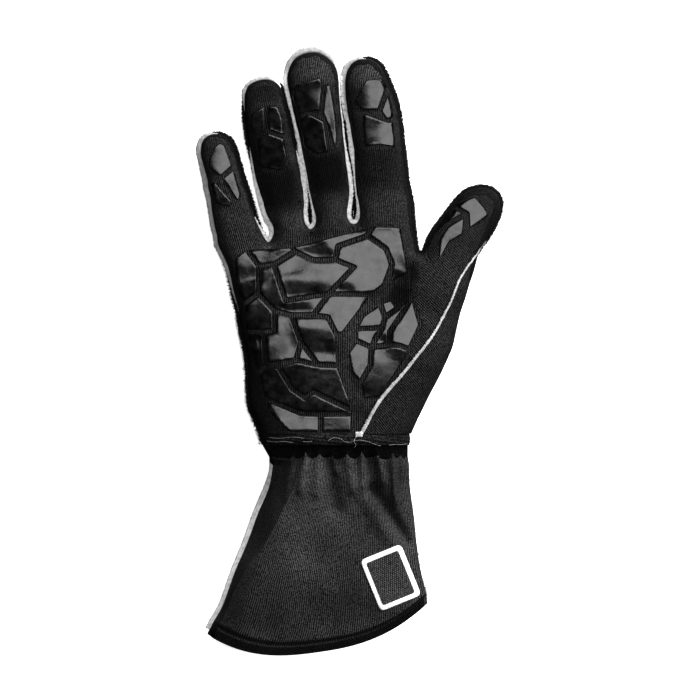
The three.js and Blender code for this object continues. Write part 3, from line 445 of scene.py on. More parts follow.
def soft_distance(points):
    """Distance to the stitched edge without a crease along the middle of a form."""
    every = 3
    samples = edge[::every, :2].astype(np.float32).T

    def part(p):
        square = square_distances(p.astype(np.float32), samples) + 1e-3
        # 3/4 of the step makes this the exact distance beside a straight edge
        return (0.75 * every * EDGE_STEP * (square**-2.5).sum(1)) ** -0.25

    smooth = in_chunks(part, points, 4000)
    exact = np.abs(signed_distance(points))
    mix = smoothstep(1.5, 3.5, exact)
    return exact * (1 - mix) + smooth * mix


def crown_at(points):
    def part(p):
        weight = (square_distances(p, (CROWN["x"], CROWN["y"])) + 16) ** -2
        weight /= weight.sum(1)[:, None]
        return np.c_[weight @ CROWN["top"], weight @ CROWN["shoulder"]]

    return in_chunks(part, points)


def settled(lift):
    """How fully folds and relief show, from 0 at the seam to 1 on top."""
    return np.minimum(1, 1.4 * lift)


def plain_palm(points):
    """The palm side without the lie of its cells, and how far each point is up its side."""
    top, shoulder = crown_at(points).T
    lift = superellipse(1 - np.clip(soft_distance(points) / shoulder, 0, 1), 2.05)
    x, y = points.T
    extra = folds_height(PALM_FOLDS, x, y)
    extra += 0.25 * ripples(x, y, 26, 11) + 0.12 * ripples(x, y, 13, 12)
    return SEAM_Z + (top - SEAM_Z) * lift + extra * settled(lift), lift


def inset(corners, gap):
    """The polygon, turned anticlockwise, with each side moved in by its gap."""
    inward = left_of(unit(np.roll(corners, -1, axis=0) - corners))
    moved = []
    for i, corner in enumerate(corners):
        both = inward[[i - 1, i]]
        if abs(np.linalg.det(both)) < 0.15:
            shift = (both[0] + both[1]) / 2 * (gap[i - 1] + gap[i]) / 2
        else:
            shift = np.linalg.solve(both, [gap[i - 1], gap[i]])
        longest = 2.4 * max(gap[i - 1], gap[i])
        moved.append(corner + shift * min(1, longest / max(np.linalg.norm(shift), 1e-9)))
    return np.array(moved)


def anticlockwise(corners):
    p = np.array(corners, float)
    area = (p[:, 0] * np.roll(p[:, 1], -1) - np.roll(p[:, 0], -1) * p[:, 1]).sum()
    return p if area > 0 else p[::-1]


def polygon_distance(loop, points):
    """Distance to a polygon's outline, positive inside it."""
    a, b = loop, np.roll(loop, -1, axis=0)

    def part(p):
        far = np.sqrt((gaps_to(p, a, b - a) ** 2).sum(2).min(1))
        x, y = p[:, 0][:, None], p[:, 1][:, None]
        crosses = (a[None, :, 1] > y) != (b[None, :, 1] > y)
        rise = np.where(b[:, 1] == a[:, 1], 1e-9, b[:, 1] - a[:, 1])
        hit = crosses & (x < a[:, 0] + (y - a[:, 1]) / rise * (b[:, 0] - a[:, 0]))
        return np.where(hit.sum(1) % 2 == 1, far, -far)

    return in_chunks(part, points)


def cell_outlines(corners, cells):
    """Each cell moved in by half a channel beside another cell, and by less elsewhere."""
    spots = {name: (float(x), float(y)) for name, x, y in (corner.split() for corner in corners.split(","))}
    cells = [anticlockwise([spots[c] for c in cell.split(":")[0].split()]) for cell in cells.split(",")]
    outlines = []
    for cell in cells:
        side = np.roll(cell, -1, axis=0) - cell
        gaps = []
        for corner, along, out in zip(cell, side, -left_of(unit(side))):
            probes = corner + along * np.array([[0.3], [0.5], [0.7]]) + out * 1.3
            beside = any((polygon_distance(other, probes) > 0).any() for other in cells if other is not cell)
            gaps.append(CHANNEL / 2 if beside else RIM_GAP)
        outlines.append(inset(cell, gaps))
    return outlines


CELL_OUTLINES = {group: cell_outlines(*chart) for group, chart in PRINTS.items()}
CELL_LEANS = np.vstack([numbers(cells) for _, cells in PRINTS.values()])
relief_x = np.arange(HAND_LEFT - 3, HAND_RIGHT + 4, RELIEF_STEP)
relief_y = np.arange(-52, HAND_TOP + 4, RELIEF_STEP)


def make_relief():
    """The small heights that make each cell and each stretch of knit lean as charted.

    The wanted slopes rarely fit together, so the heights are the nearest that do."""
    gx, gy = np.meshgrid(relief_x, relief_y)
    x, y = gx.ravel(), gy.ravel()
    points = np.c_[x, y]
    slope_y, slope_x = (s.ravel() for s in np.gradient(plain_palm(points)[0].reshape(gx.shape), RELIEF_STEP))
    want_x, want_y = np.zeros(len(points)), np.zeros(len(points))
    weight = np.full(len(points), 0.05)
    for *shape, lean, _ in zip(*KNIT_LEANS.values()):
        w = 0.6 * oval(x, y, *shape)
        want_x *= weight / (weight + w)
        want_y = (want_y * weight + (-math.tan(math.radians(lean)) - slope_y) * w) / (weight + w)
        weight = weight + w
    # the channels give way, so that each cell can lie as charted
    every_cell = [cell for outlines in CELL_OUTLINES.values() for cell in outlines]
    deepest = np.max([polygon_distance(cell, points) for cell in every_cell], axis=0)
    weight = np.where(deepest > -CHANNEL, np.maximum(0.3 * weight, 0.12), weight)
    # u runs to the upper right, towards the overhead light, and v to the upper left
    ux, uy = math.cos(math.radians(LIGHT_SIDE)), math.sin(math.radians(LIGHT_SIDE))
    for outline, (lean, grow_u, grow_v) in zip(every_cell, CELL_LEANS):
        w = smoothstep(-0.4, 0.6, polygon_distance(outline, points))
        centre = outline.mean(0)
        u = ((x - centre[0]) * ux + (y - centre[1]) * uy) / 10
        v = ((y - centre[1]) * ux - (x - centre[0]) * uy) / 10
        lean_u, lean_v = lean + grow_u * u + grow_v * v, grow_v * u
        for *shape, dent in zip(*DENTS.values()):
            if polygon_distance(outline, np.array([shape[:2]]))[0] > 0:
                share = oval(x, y, *shape)
                lean_u = lean_u * (1 - share) + dent * share
        to_x, to_y = lean_u * ux - lean_v * uy, lean_u * uy + lean_v * ux
        want_x = want_x * (1 - w) + w * (-np.tan(np.radians(to_x)) - slope_x)
        want_y = want_y * (1 - w) + w * (-np.tan(np.radians(to_y)) - slope_y)
        weight = weight * (1 - w) + w
    weight[signed_distance(points) < 1.5] = 1e-6
    weight, want_x, want_y = (v.reshape(gx.shape) for v in (weight, want_x, want_y))
    link_x = np.minimum(weight[:, 1:], weight[:, :-1])
    link_y = np.minimum(weight[1:], weight[:-1])

    def spread(along_x, along_y):
        out = np.zeros(gx.shape)
        out[:, 1:] += link_x * along_x
        out[:, :-1] -= link_x * along_x
        out[1:] += link_y * along_y
        out[:-1] -= link_y * along_y
        return out

    # conjugate gradients for the least squares
    h = np.zeros(gx.shape)
    between_x, between_y = (want_x[:, 1:] + want_x[:, :-1]) / 2, (want_y[1:] + want_y[:-1]) / 2
    rest = spread(between_x * RELIEF_STEP, between_y * RELIEF_STEP)
    direction, size = rest.copy(), (rest**2).sum()
    for _ in range(400):
        slopes = direction[:, 1:] - direction[:, :-1], direction[1:] - direction[:-1]
        moved = spread(*slopes) + 5e-3 * direction
        step = size / (direction * moved).sum()
        h += step * direction
        rest -= step * moved
        new_size = (rest**2).sum()
        direction = rest + new_size / size * direction
        size = new_size
        if size < 1e-8:
            break
    return h


relief = make_relief()


def relief_at(points):
    """The relief at points, through a cubic B-spline, which also smooths it a little."""
    fx = np.clip((points[:, 0] - relief_x[0]) / RELIEF_STEP, 1, len(relief_x) - 3)
    fy = np.clip((points[:, 1] - relief_y[0]) / RELIEF_STEP, 1, len(relief_y) - 3)
    ix, iy = fx.astype(int), fy.astype(int)

    def weights(t):
        inner = (3 * t**3 - 6 * t**2 + 4) / 6, (-3 * t**3 + 3 * t**2 + 3 * t + 1) / 6
        return [(1 - t) ** 3 / 6, *inner, t**3 / 6]

    wx, wy = weights(fx - ix), weights(fy - iy)
    return sum(wy[j] * wx[i] * relief[iy + j - 1, ix + i - 1] for j in range(4) for i in range(4))


def palm_height(points):
    """Height of the palm side over points of the hand."""
    base, lift = plain_palm(points)
    return base + relief_at(points) * settled(lift)


def back_height(points):
    return SEAM_Z * (1 - superellipse(1 - np.clip(soft_distance(points) / 6.5, 0, 1), 2.2))


# Meshes


def placed(name, data):
    """A new object in the scene."""
    made = bpy.data.objects.new(name, data)
    bpy.context.scene.collection.objects.link(made)
    return made


def piece(name, shape, nodes, material, attributes=None, smooth=True, wall=0):
    """An object of points and faces; attributes are values for each point, wall a thickness."""
    points, faces = shape
    mesh = bpy.data.meshes.new(name)
    mesh.from_pydata((np.asarray(points) * MM).tolist(), [], [tuple(f) for f in faces])
    for key, values in (attributes or {}).items():
        mesh.attributes.new(key, "FLOAT", "POINT").data.foreach_set("value", np.asarray(values, np.float32))
    mesh.polygons.foreach_set("use_smooth", [smooth] * len(mesh.polygons))
    mesh.materials.append(material)
    made = placed(name, mesh)
    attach(made, "root")
    if nodes:
        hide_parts(*nodes)
    if wall:
        made.modifiers.new("wall", "SOLIDIFY").thickness = wall * MM


def quads(rows, columns, closed=False):
    """Faces of a grid of points stored row by row; closed joins the last column to the first."""
    r = np.arange(rows - 1)[:, None] * columns
    c = np.arange(columns if closed else columns - 1)[None]
    n = (c + 1) % columns
    return np.stack([r + c, r + n, r + columns + n, r + columns + c], -1).reshape(-1, 4)


def triangulate(points, rim, lines=()):
    """Triangles over points, of which the first, rim in number, are the outline in order.

    Lines are lists of point indices that the triangles' edges follow."""
    loop = list(range(rim))
    edges = [(a, b) for line in (*lines, loop + [0]) for a, b in zip(line[:-1], line[1:])]
    found = delaunay_2d_cdt([Vector(p) for p in points], edges, [], 0, 1e-6)
    return np.array(found[0]), np.array(found[2])


def hex_grid(low, high, step):
    xs = np.arange(low[0], high[0], step)
    ys = np.arange(low[1], high[1], step * math.sqrt(3) / 2)
    gx, gy = np.meshgrid(xs, ys)
    gx[1::2] += step / 2
    return np.c_[gx.ravel(), gy.ravel()]


def strip(path, normal, z, inner, outer, thickness, wobble):
    """A flat ribbon along a path with a rounded outer rim. Returns points and faces."""
    # from the inner edge on top, out round the rim and back underneath
    share = np.r_[0, 0.35, 0.7, 1, 1, 0.7, 0.35, 0]
    lift = np.r_[1, 1, 1, 0.55, -0.55, -1, -1, -1] * thickness / 2
    reach = inner + (outer - inner)[:, None] * share
    reach += wobble * share
    xy = path[:, None, :2] + normal[:, None] * reach[..., None]
    return np.dstack([xy, z[:, None] + lift]).reshape(-1, 3), quads(len(path), len(share), closed=True)


def joined(parts):
    points, faces, total = [], [], 0
    for p, f in parts:
        points.append(p)
        faces += [tuple(int(i) + total for i in face) for face in f]
        total += len(p)
    return np.vstack(points), faces


# Materials


class Look:
    """A material whose nodes are added one by one."""

    def __init__(self, name, **sockets):
        self.material = bpy.data.materials.new(name)
        self.material.use_nodes = True
        self.nodes = self.material.node_tree.nodes
        self.links = self.material.node_tree.links
        self.shader = self.nodes["Principled BSDF"]
        for key, value in sockets.items():
            self.shader.inputs[key.replace("_", " ")].default_value = value

    def add(self, kind, settings=None, **sockets):
        """A new node's first output; _0, _1 and so on name its inputs by number."""
        made = self.nodes.new("ShaderNode" + kind)
        for key, value in (settings or {}).items():
            setattr(made, key, value)
        for key, value in sockets.items():
            socket = made.inputs[int(key[1:]) if key[0] == "_" else key]
            if isinstance(value, bpy.types.NodeSocket):
                self.links.new(value, socket)
            else:
                socket.default_value = value
        return made.outputs[0]

    def math(self, operation, a, b=0.0, c=0.0):
        return self.add("Math", {"operation": operation}, _0=a, _1=b, _2=c)

    def times(self, a, b):
        return self.math("MULTIPLY", a, b)

    def noise(self, scale, detail):
        place = self.nodes.new("ShaderNodeTexCoord").outputs["Object"]
        return self.add("TexNoise", Vector=place, Scale=scale, Detail=detail)

    def range(self, value, low, high, to_low, to_high):
        return self.add("MapRange", _0=value, _1=low, _2=high, _3=to_low, _4=to_high)

    def ramp(self, factor, *stops):
        made = self.nodes.new("ShaderNodeValToRGB")
        for element, (position, grey) in zip(made.color_ramp.elements, stops):
            element.position = position
            element.color = (grey, grey, grey, 1)
        self.links.new(factor, made.inputs["Fac"])
        return made.outputs["Color"]

    def attribute(self, name):
        made = self.nodes.new("ShaderNodeAttribute")
        made.attribute_name = name
        return made.outputs["Fac"]

    def to(self, socket, value):
        self.links.new(value, self.shader.inputs[socket])

    def bump(self, height, distance):
        self.to("Normal", self.add("Bump", Distance=distance * MM, Height=height))


def knit_look(name, pitch, depth, dark, light, specular=0.15, loops=0.9, loop_share=0.15, fuzz=0.5):
    """Ribbed knit: ribs across the rib attribute, loops along the run attribute, both in mm."""
    look = Look(name, Specular_IOR_Level=specular)
    rib, run = look.attribute("rib"), look.attribute("run")
    drift = look.range(look.noise(90, 1), 0.3, 0.7, -0.25, 0.25)
    across = look.times(look.math("ADD", rib, drift), 2 * math.pi / pitch)
    wale = look.math("MULTIPLY_ADD", look.math("SINE", across), 0.5, 0.5)
    along = look.times(run, 2 * math.pi / loops)
    loop = look.math("SINE", look.math("ADD", along, look.times(across, 0.5)))
    fibre = look.noise(2200, 2)
    # the stretch attribute holds painted light and shade, not a stretch of the knit; shade scales the colour
    # by it
    stretch = look.attribute("stretch")
    height = look.math("ADD", look.times(wale, 0.7), look.times(loop, loop_share))
    look.bump(look.math("ADD", height, look.times(fibre, 0.3)), depth)
    fluff = look.range(look.noise(1300, 2), 0.35, 0.65, 0, 1)
    yarn = look.math("MULTIPLY_ADD", wale, 1 - fuzz, look.times(fluff, fuzz))
    shade = look.math("MULTIPLY_ADD", stretch, 0.3, 1.0)
    look.to("Base Color", look.times(look.range(yarn, 0.3, 0.72, dark, light), shade))
    look.to("Roughness", look.range(yarn, 0.25, 0.85, 0.8, 0.55))
    return look.material


def plain_look(name, dark, light, roughness, scale, depth, specular):
    look = Look(name, Roughness=roughness, Specular_IOR_Level=specular)
    grain = look.noise(scale, 4)
    look.bump(grain, depth)
    look.to("Base Color", look.ramp(grain, (0.3, dark), (0.7, light)))
    return look.material


palm_knit = knit_look("palm_knit", 1.22, 0.28, 0.001, 0.046)
cuff_knit = knit_look("cuff_knit", 1.0, 0.22, 0.002, 0.072)
thumb_twill = knit_look("thumb_twill", 1.1, 0.28, 0.001, 0.048, loops=1.3, loop_share=0.4)
hem_twill = knit_look("hem_twill", 1.4, 0.25, 0.001, 0.01, specular=0.08)
band_knit = knit_look("band_knit", 1.9, 0.25, 0.001, 0.03, loops=1.3, fuzz=0.78)
dark_seam = plain_look("dark_seam", 0.003, 0.02, 0.8, 900, 0.3, 0.1)
elastic_cloth = plain_look("elastic_cloth", 0.001, 0.009, 0.9, 700, 0.3, 0.1)
patch_cloth = knit_look("patch_cloth", 1.1, 0.15, 0.012, 0.075, specular=0.2, loops=1.1, loop_share=0.5)
white_cloth = plain_look("patch_white", 0.5, 0.66, 0.8, 1200, 0.15, 0.2)


def light_seam_look():
    """White yarn, painted greyer where it is open to the light and lighter between the fingers, where the
    shadow falls: painted light in the valleys.
    """
    look = Look("light_seam", Roughness=0.8, Specular_IOR_Level=0.2)
    grain = look.noise(1100, 4)
    look.bump(grain, 0.1)
    tone = look.range(grain, 0.3, 0.7, 0.88, 1.0)
    painted_valley_light = look.range(look.attribute("valley"), 0, 1, 0.45, 0.97)
    fray = look.range(look.noise(520, 5), 0.36, 0.56, 0.74, 1.0)
    look.to("Base Color", look.times(look.times(tone, fray), painted_valley_light))
    return look.material


def silicone_look():
    """Black gloss with dust, dimples and a slightly uneven face."""
    look = Look("silicone", Specular_IOR_Level=0.4)
    speck, dimple, blotch = look.noise(1500, 3), look.noise(420, 2), look.noise(120, 3)
    height = look.math("ADD", look.times(speck, 0.06), look.times(blotch, 1.1))
    look.bump(look.math("ADD", height, look.times(dimple, 0.15)), 0.09)
    look.to("Base Color", look.ramp(look.noise(260, 5), (0.42, 0.002), (0.75, 0.018)))
    look.to("Roughness", look.range(look.noise(300, 3), 0.3, 0.7, 0.13, 0.21))
    return look.material


light_seam = light_seam_look()
silicone = silicone_look()


# Camera, light and floor

VIEW = 380.1 * MM  # width of the picture at the seams' height
DISTANCE = 8.0
SENSOR = 36
camera = placed("camera", bpy.data.cameras.new("camera"))
camera.data.sensor_width = SENSOR
camera.data.lens = SENSOR * DISTANCE / VIEW
camera.data.clip_end = 20
camera.location = (0, 0, DISTANCE + HEM_SEAM_Z * MM)
bpy.context.scene.camera = camera
bpy.context.scene.view_settings.view_transform = "Standard"
bpy.context.scene.view_settings.gamma = 0.75

world = bpy.data.worlds.new("studio")
bpy.context.scene.world = world
world.use_nodes = True
world.node_tree.nodes["Background"].inputs["Color"].default_value = (1, 1, 1, 1)
world.node_tree.nodes["Background"].inputs["Strength"].default_value = 0.05


def softbox(name, azimuth, height, width, depth, radiance):
    """A rectangular light 10 m off that faces the glove, azimuth degrees round from +X and
    height degrees above the horizon."""
    a, h = math.radians(azimuth), math.radians(height)
    data = bpy.data.lights.new(name, "AREA")
    data.shape = "RECTANGLE"
    data.size, data.size_y = width, depth
    data.energy = radiance * width * depth * math.pi
    made = placed(name, data)
    away = Vector((math.cos(a) * math.cos(h), math.sin(a) * math.cos(h), math.sin(h)))
    made.location = away * 10
    made.rotation_mode = "QUATERNION"
    made.rotation_quaternion = away.to_track_quat("Z", "Y")
    return made


softbox("overhead", LIGHT_SIDE, 75, 4.8, 5.0, 9.0)
# the low lights model the knit, and do not stand mirrored in the silicone: a dimmer one does
softbox("key", 66, 16, 7.0, 2.5, 48.0).visible_glossy = False
softbox("side", 5, 20, 5.0, 3.0, 25.0).visible_glossy = False
softbox("rims", 66, 42, 6.0, 2.4, 15.0).visible_diffuse = False


def floor(half):
    """A white floor that shines evenly and lights nothing."""
    mesh = bpy.data.meshes.new("floor")
    corners = [(-half, -half, 0), (half, -half, 0), (half, half, 0), (-half, half, 0)]
    mesh.from_pydata(corners, [], [(0, 1, 2, 3)])
    white = {"Emission_Strength": 0.9, "Emission_Color": (1, 1, 1, 1)}
    look = Look("floor", Roughness=0.9, Specular_IOR_Level=0.1, **white)
    look.to("Base Color", look.ramp(look.noise(3, 2), (0.3, 0.86), (0.7, 0.9)))
    mesh.materials.append(look.material)
    made = placed("floor", mesh)
    made.location.z = -0.0002
    made.visible_diffuse = made.visible_glossy = False


floor(3.0)


# The hand's cloth

# the outline: every second point of the edge, and a straight line across the wrist
wrist_x, wrist_y = numbers(EDGE["hand_left"])[[0, 2], :2].T
left_end = np.array([np.interp(HAND_END, wrist_y, wrist_x), HAND_END])
right_end = np.array([numbers(EDGE["hand_right"])[-2, 0], HAND_END])
outline = edge[(edge[:, 1] > HAND_END) & beside_hand][::2, :2]
outline = np.vstack([outline, np.linspace(right_end, left_end, 90)])

# points inside it: rows beside the edge where the cloth turns steeply, and a grid
near_hand = edge[:, 1] > HAND_END - 3
interior = []
for offset in (0.03, 0.12, 0.3, 0.6, 1.0, 1.5, 2.1):
    moved = (edge[near_hand, :2] - edge_normal[near_hand] * offset)[::2]
    inside = signed_distance(moved) > 0.97 * offset - 0.004
    interior.append(moved[inside & (moved[:, 1] > HAND_END + 0.3)])
grid = hex_grid((HAND_LEFT, HAND_END + 0.45), (HAND_RIGHT, HAND_TOP), CLOTH_STEP)
interior = np.vstack(interior + [grid[signed_distance(grid) > 2.6]])

# the panels meet along the thumb's seam, and along the left edge of the thumb's panel
seam_curve, _ = resample(THUMB_SEAM, SEAM_STEP)
seam_line = seam_curve[:, :2]
panel_line, _ = resample(THUMB_PANEL_EDGE, 0.6)
whole_seam = np.vstack([SEAM_START, seam_line, SEAM_FOOT])
for line in (whole_seam, panel_line):
    far = in_chunks(lambda p: np.sqrt(square_distances(p, line.T)).min(1), interior)
    interior = interior[far > 0.35]
inner_seam = whole_seam[(signed_distance(whole_seam) > 0.3) & (whole_seam[:, 1] > HAND_END + 0.2)]
inner_panel = panel_line[signed_distance(panel_line) > 0.3]
all_points = np.vstack([outline, interior, inner_seam, inner_panel])
starts = np.cumsum([len(outline) + len(interior), len(inner_seam), len(inner_panel)])
lines = [list(range(start, end)) for start, end in zip(starts[:-1], starts[1:])]
flat, triangles = triangulate(all_points, len(outline), lines)
triangles = triangles[signed_distance(flat[triangles].mean(1)) > 0]
centres = flat[triangles].mean(1)


def side_of(line, points):
    """Positive to the left of a line, by its nearest segment."""
    a, ways = line[:-1], np.diff(line, axis=0)

    def part(p):
        i = (gaps_to(p, a, ways) ** 2).sum(2).argmin(1)
        g = p - a[i]
        return ways[i, 0] * g[:, 1] - ways[i, 1] * g[:, 0]

    return in_chunks(part, points)


meets = seam_line[np.argmin(np.hypot(*(seam_line - THUMB_PANEL_EDGE[-1]).T))]
right_of_panel = side_of(np.vstack([panel_line, meets]), centres) > 0
of_side = side_of(whole_seam, centres) > 0
of_thumb = ~of_side & right_of_panel & (centres[:, 1] > meets[1]) & (centres[:, 0] > 22)


def painted_shading_at(points):
    """Painted light (above 0) and painted shade (below 0) on the hand's knit."""
    total = np.zeros(len(points))
    for chart in (KNIT_LEANS, KNIT_PAINTED_SHADING):
        for x, y, half_x, half_y, *_, tone in zip(*chart.values()):
            total += tone * oval(points[:, 0], points[:, 1], x, y, half_x, half_y)
    return np.clip(total, -2.6, 2.8)


def rib_across(points):
    """A coordinate that is constant along the knit's ribs: they follow each finger."""
    x, y = points.T
    rib = x.copy()
    nearest = np.full(len(x), 1e9)
    for text in FINGER_MIDDLES.values():
        ys, xs = numbers(text).T
        centre = np.interp(y, ys, xs)
        off = np.abs(x - centre)
        better = (y > 45) & (off < nearest) & (x < 45)
        rib[better] = (x - centre + xs[0])[better]
        nearest[better] = off[better]
    return rib


station = nearest_station(flat)
palm_z, back_z = palm_height(flat), back_height(flat)
palm_drop = (crown_at(flat)[:, 0] - SEAM_Z) * (1 - plain_palm(flat)[1])


def cloth(name, chosen, z, material, nodes, drop=palm_drop, twill=False, turn=1):
    """A panel of the chosen triangles, its knit laid out as if the sides that drop lay flat."""
    used, index = np.unique(triangles[chosen], return_inverse=True)
    xy = flat[used]
    laid = xy + edge_normal[station[used]] * np.clip(drop[used], 0, 20)[:, None]
    rib = (laid[:, 0] + laid[:, 1]) / math.sqrt(2) if twill else rib_across(laid)
    run = (laid[:, 0] - laid[:, 1]) / math.sqrt(2) if twill else laid[:, 1]
    shape = np.c_[xy, z[used]], index.reshape(-1, 3)[:, ::turn]
    # stretch carries the knit's painted light and shade
    knit = {"rib": rib, "run": run, "stretch": painted_shading_at(xy)}
    piece(name, shape, nodes, material, knit, wall=HAND_CLOTH)


cloth("palm_cloth", ~of_side & ~of_thumb, palm_z, palm_knit, ["palm_panel"])
cloth("thumb_cloth", of_thumb, palm_z, thumb_twill, ["thumb_panel"], twill=True)
cloth("back_cloth_side", of_side, palm_z, thumb_twill, [], twill=True)
cloth("back_cloth", slice(None), back_z, palm_knit, ["back_panel"], drop=back_z, turn=-1)


# Seams of the hand


def stretches(which):
    """A slice for each unbroken stretch in which which is true."""
    ends = np.flatnonzero(np.diff(np.r_[0, which.astype(int), 0]))
    return [slice(start, end) for start, end in zip(ends[::2], ends[1::2])]


def edge_strip(which, reach, z, thickness, inner, seed, rough):
    """The allowance along the parts of the edge where which is true."""
    draw = np.random.default_rng(seed)
    parts = []
    for stretch in stretches(which):
        count = stretch.stop - stretch.start
        if count < 5:
            continue
        ends = np.minimum(np.arange(count), np.arange(count)[::-1])
        out = reach[stretch] * np.clip(0.35 + ends / 6, 0, 1)
        jag = draw.uniform(-1, 1, (count, 1)) * rough
        heights = z + 0.15 * ripples(edge_at[stretch], edge_at[stretch] * 0, 24, seed)
        parts.append(strip(edge[stretch], edge_normal[stretch], heights, inner, out, thickness, jag))
    return joined(parts)


def seam_band_and_painted_shade():
    """The dark band just inside the edge, which lies on the palm's cloth: partly the dark seam's cloth,
    partly painted shade where the cloth turns down.
    """
    weight = (square_distances(edge, (SEAM_BAND_AND_PAINTED_SHADE["x"], SEAM_BAND_AND_PAINTED_SHADE["y"])) + 9) ** -1.5
    width = (weight @ SEAM_BAND_AND_PAINTED_SHADE["width"]) / weight.sum(1)
    share = np.linspace(0, 1, 7)
    parts = []
    for stretch in stretches(in_hand & (width > 0.35)):
        wide = width[stretch] + 0.25 * ripples(edge_at[stretch], edge_at[stretch] * 0, 5, 41)
        xy = edge[stretch, None, :2] - edge_normal[stretch, None] * (share[None] * wide[:, None])[..., None]
        top = palm_height(xy.reshape(-1, 2)).reshape(xy.shape[:2]) + 0.35 * (1 - share**4) - 0.05
        points = np.concatenate([np.dstack([xy, top]), np.dstack([xy, top - 0.5])[:, ::-1]], axis=1)
        parts.append((points.reshape(-1, 3), quads(*points.shape[:2], closed=True)))
    return joined(parts)


light_reach, dark_reach = edge[:, 2], edge[:, 3]
in_hand = (edge[:, 1] > BAND_END) & beside_hand
# a wider, lower allowance closes the gaps between the three long fingers
between = np.isin(edge_label, BETWEEN_LONG_FINGERS) & (edge[:, 1] < 144)
dark = joined([
    edge_strip(in_hand & (dark_reach > 0.2), dark_reach, SEAM_Z - 0.7, 1.0, -0.8, 21, 0.4),
    edge_strip(between, np.full(len(edge), 3.4), SEAM_Z - 3, 0.8, -0.5, 22, 0.2),
    seam_band_and_painted_shade(),
])
piece("dark_allowance", dark, ["finger_seam_front"], dark_seam)
light = edge_strip(in_hand & (light_reach > 0.25), light_reach, SEAM_Z + 0.35, 1.1, -0.3, 23, 0.28)
# the valley attribute paints the white seam lighter between the fingers, where the shadow falls, and greyer
# in the open: painted light
valley = {"valley": edge_valley[nearest_station(light[0])]}
piece("light_allowance", light, ["finger_seam_back"], light_seam, valley)

# the thumb's seam: a ragged, ribbed band that crowns over the cloth
seam_normal = outward(seam_curve)
half = seam_curve[:, 2] / 2
across = np.linspace(-1, 1, 9)
ragged = [random.uniform(-0.3, 0.3, len(half)), random.uniform(-0.18, 0.18, len(half))]
rag = np.where(across < 0, ragged[0][:, None], ragged[1][:, None]) * np.abs(across) ** 3
reach = half[:, None] * across + rag
xy = seam_line[:, None] + seam_normal[:, None] * reach[..., None]
ribs = 0.12 * np.sin(np.arange(len(half)) * SEAM_STEP * 2 * math.pi / SEAM_RIBS)[:, None]
z = palm_height(xy.reshape(-1, 2)).reshape(xy.shape[:2]) - 0.2
z = z + (1.1 + ribs) * np.sqrt(np.clip(1 - across**4, 0, 1))
stitch = np.dstack([xy, z]).reshape(-1, 3), quads(*z.shape)[:, ::-1]


# Grip cells


def rounded(corners, radius, step):
    """The polygon's outline with rounded corners, sampled evenly."""
    out = []
    for a, b, c in zip(np.roll(corners, 1, axis=0), corners, np.roll(corners, -1, axis=0)):
        to_a, to_c = np.linalg.norm(a - b), np.linalg.norm(c - b)
        start = b + (a - b) / to_a * min(radius, 0.45 * to_a)
        end = b + (c - b) / to_c * min(radius, 0.45 * to_c)
        for t in np.linspace(0, 1, 5):
            out.append((1 - t) ** 2 * start + 2 * t * (1 - t) * b + t**2 * end)
    closed = np.array(out + out[:1])
    length = travelled(closed)
    at = np.linspace(0, length[-1], max(12, int(length[-1] / step)), endpoint=False)
    return np.c_[np.interp(at, length, closed[:, 0]), np.interp(at, length, closed[:, 1])]


def plate(outline, surface, height, step=0.9, rim=0.5):
    """A raised plate with a rounded rim that follows a surface. Returns points and faces."""
    inward = left_of(unit(np.roll(outline, -1, axis=0) - np.roll(outline, 1, axis=0)))
    n = len(outline)
    # how far in each row of the rim lies; the last row bounds the face
    shares = np.array([0, 0, 0.1, 0.35, 0.68, 1.0])
    rim_rows = [outline + inward * rim * share for share in shares]
    inner = rim_rows.pop()
    rim_count = len(rim_rows) * n
    grid = hex_grid(outline.min(0), outline.max(0), step)
    grid = grid[polygon_distance(inner, grid) > 0.35 * step]
    face, tris = triangulate(np.vstack([inner, grid]), n)
    tris = tris[polygon_distance(inner, face[tris].mean(1)) > 0]
    xy = np.vstack(rim_rows + [face])
    rise = np.full(len(xy), height)
    rise[:rim_count] = height * np.sqrt(1 - (1 - np.repeat(shares[:-1], n)) ** 2)
    z = surface(xy) + rise
    z[:n] -= 0.25
    sides = quads(len(shares), n, closed=True)
    return np.c_[xy, z], [tuple(face) for face in (*sides, *(tris + rim_count))]


tag = plate(rounded(TAG, 0.3, 0.4), lambda p: np.full(len(p), TAG_Z), 1.7, step=0.8, rim=0.3)
piece("thumb_seam_stitch", joined([stitch, tag]), ["thumb_seam"], light_seam)

for group, outlines in CELL_OUTLINES.items():
    for number, cell in enumerate(outlines, 1):
        shape = plate(rounded(cell, 0.8, 0.8), palm_height, PRINT_HEIGHT)
        piece(f"{group}_cell_{number}", shape, [f"{group}_grip_{number}"], silicone)


# The cuff


def cuff_rows(count, first=ELASTIC_ROW, last=MOUTH_ROW):
    """Rows of the cuff from one row of its table to another, smoothly interpolated."""
    at = np.linspace(first, last, count)
    i = np.clip(at.astype(int), 0, len(CUFF_ROWS) - 2)
    return hermite(CUFF_ROWS, np.gradient(CUFF_ROWS, axis=0), i, (at - i)[:, None])


def seam_height(y):
    along = np.clip((ELASTIC_END - y) / (ELASTIC_END - MOUTH), 0, 1)
    return SEAM_Z + (HEM_SEAM_Z - SEAM_Z) * along


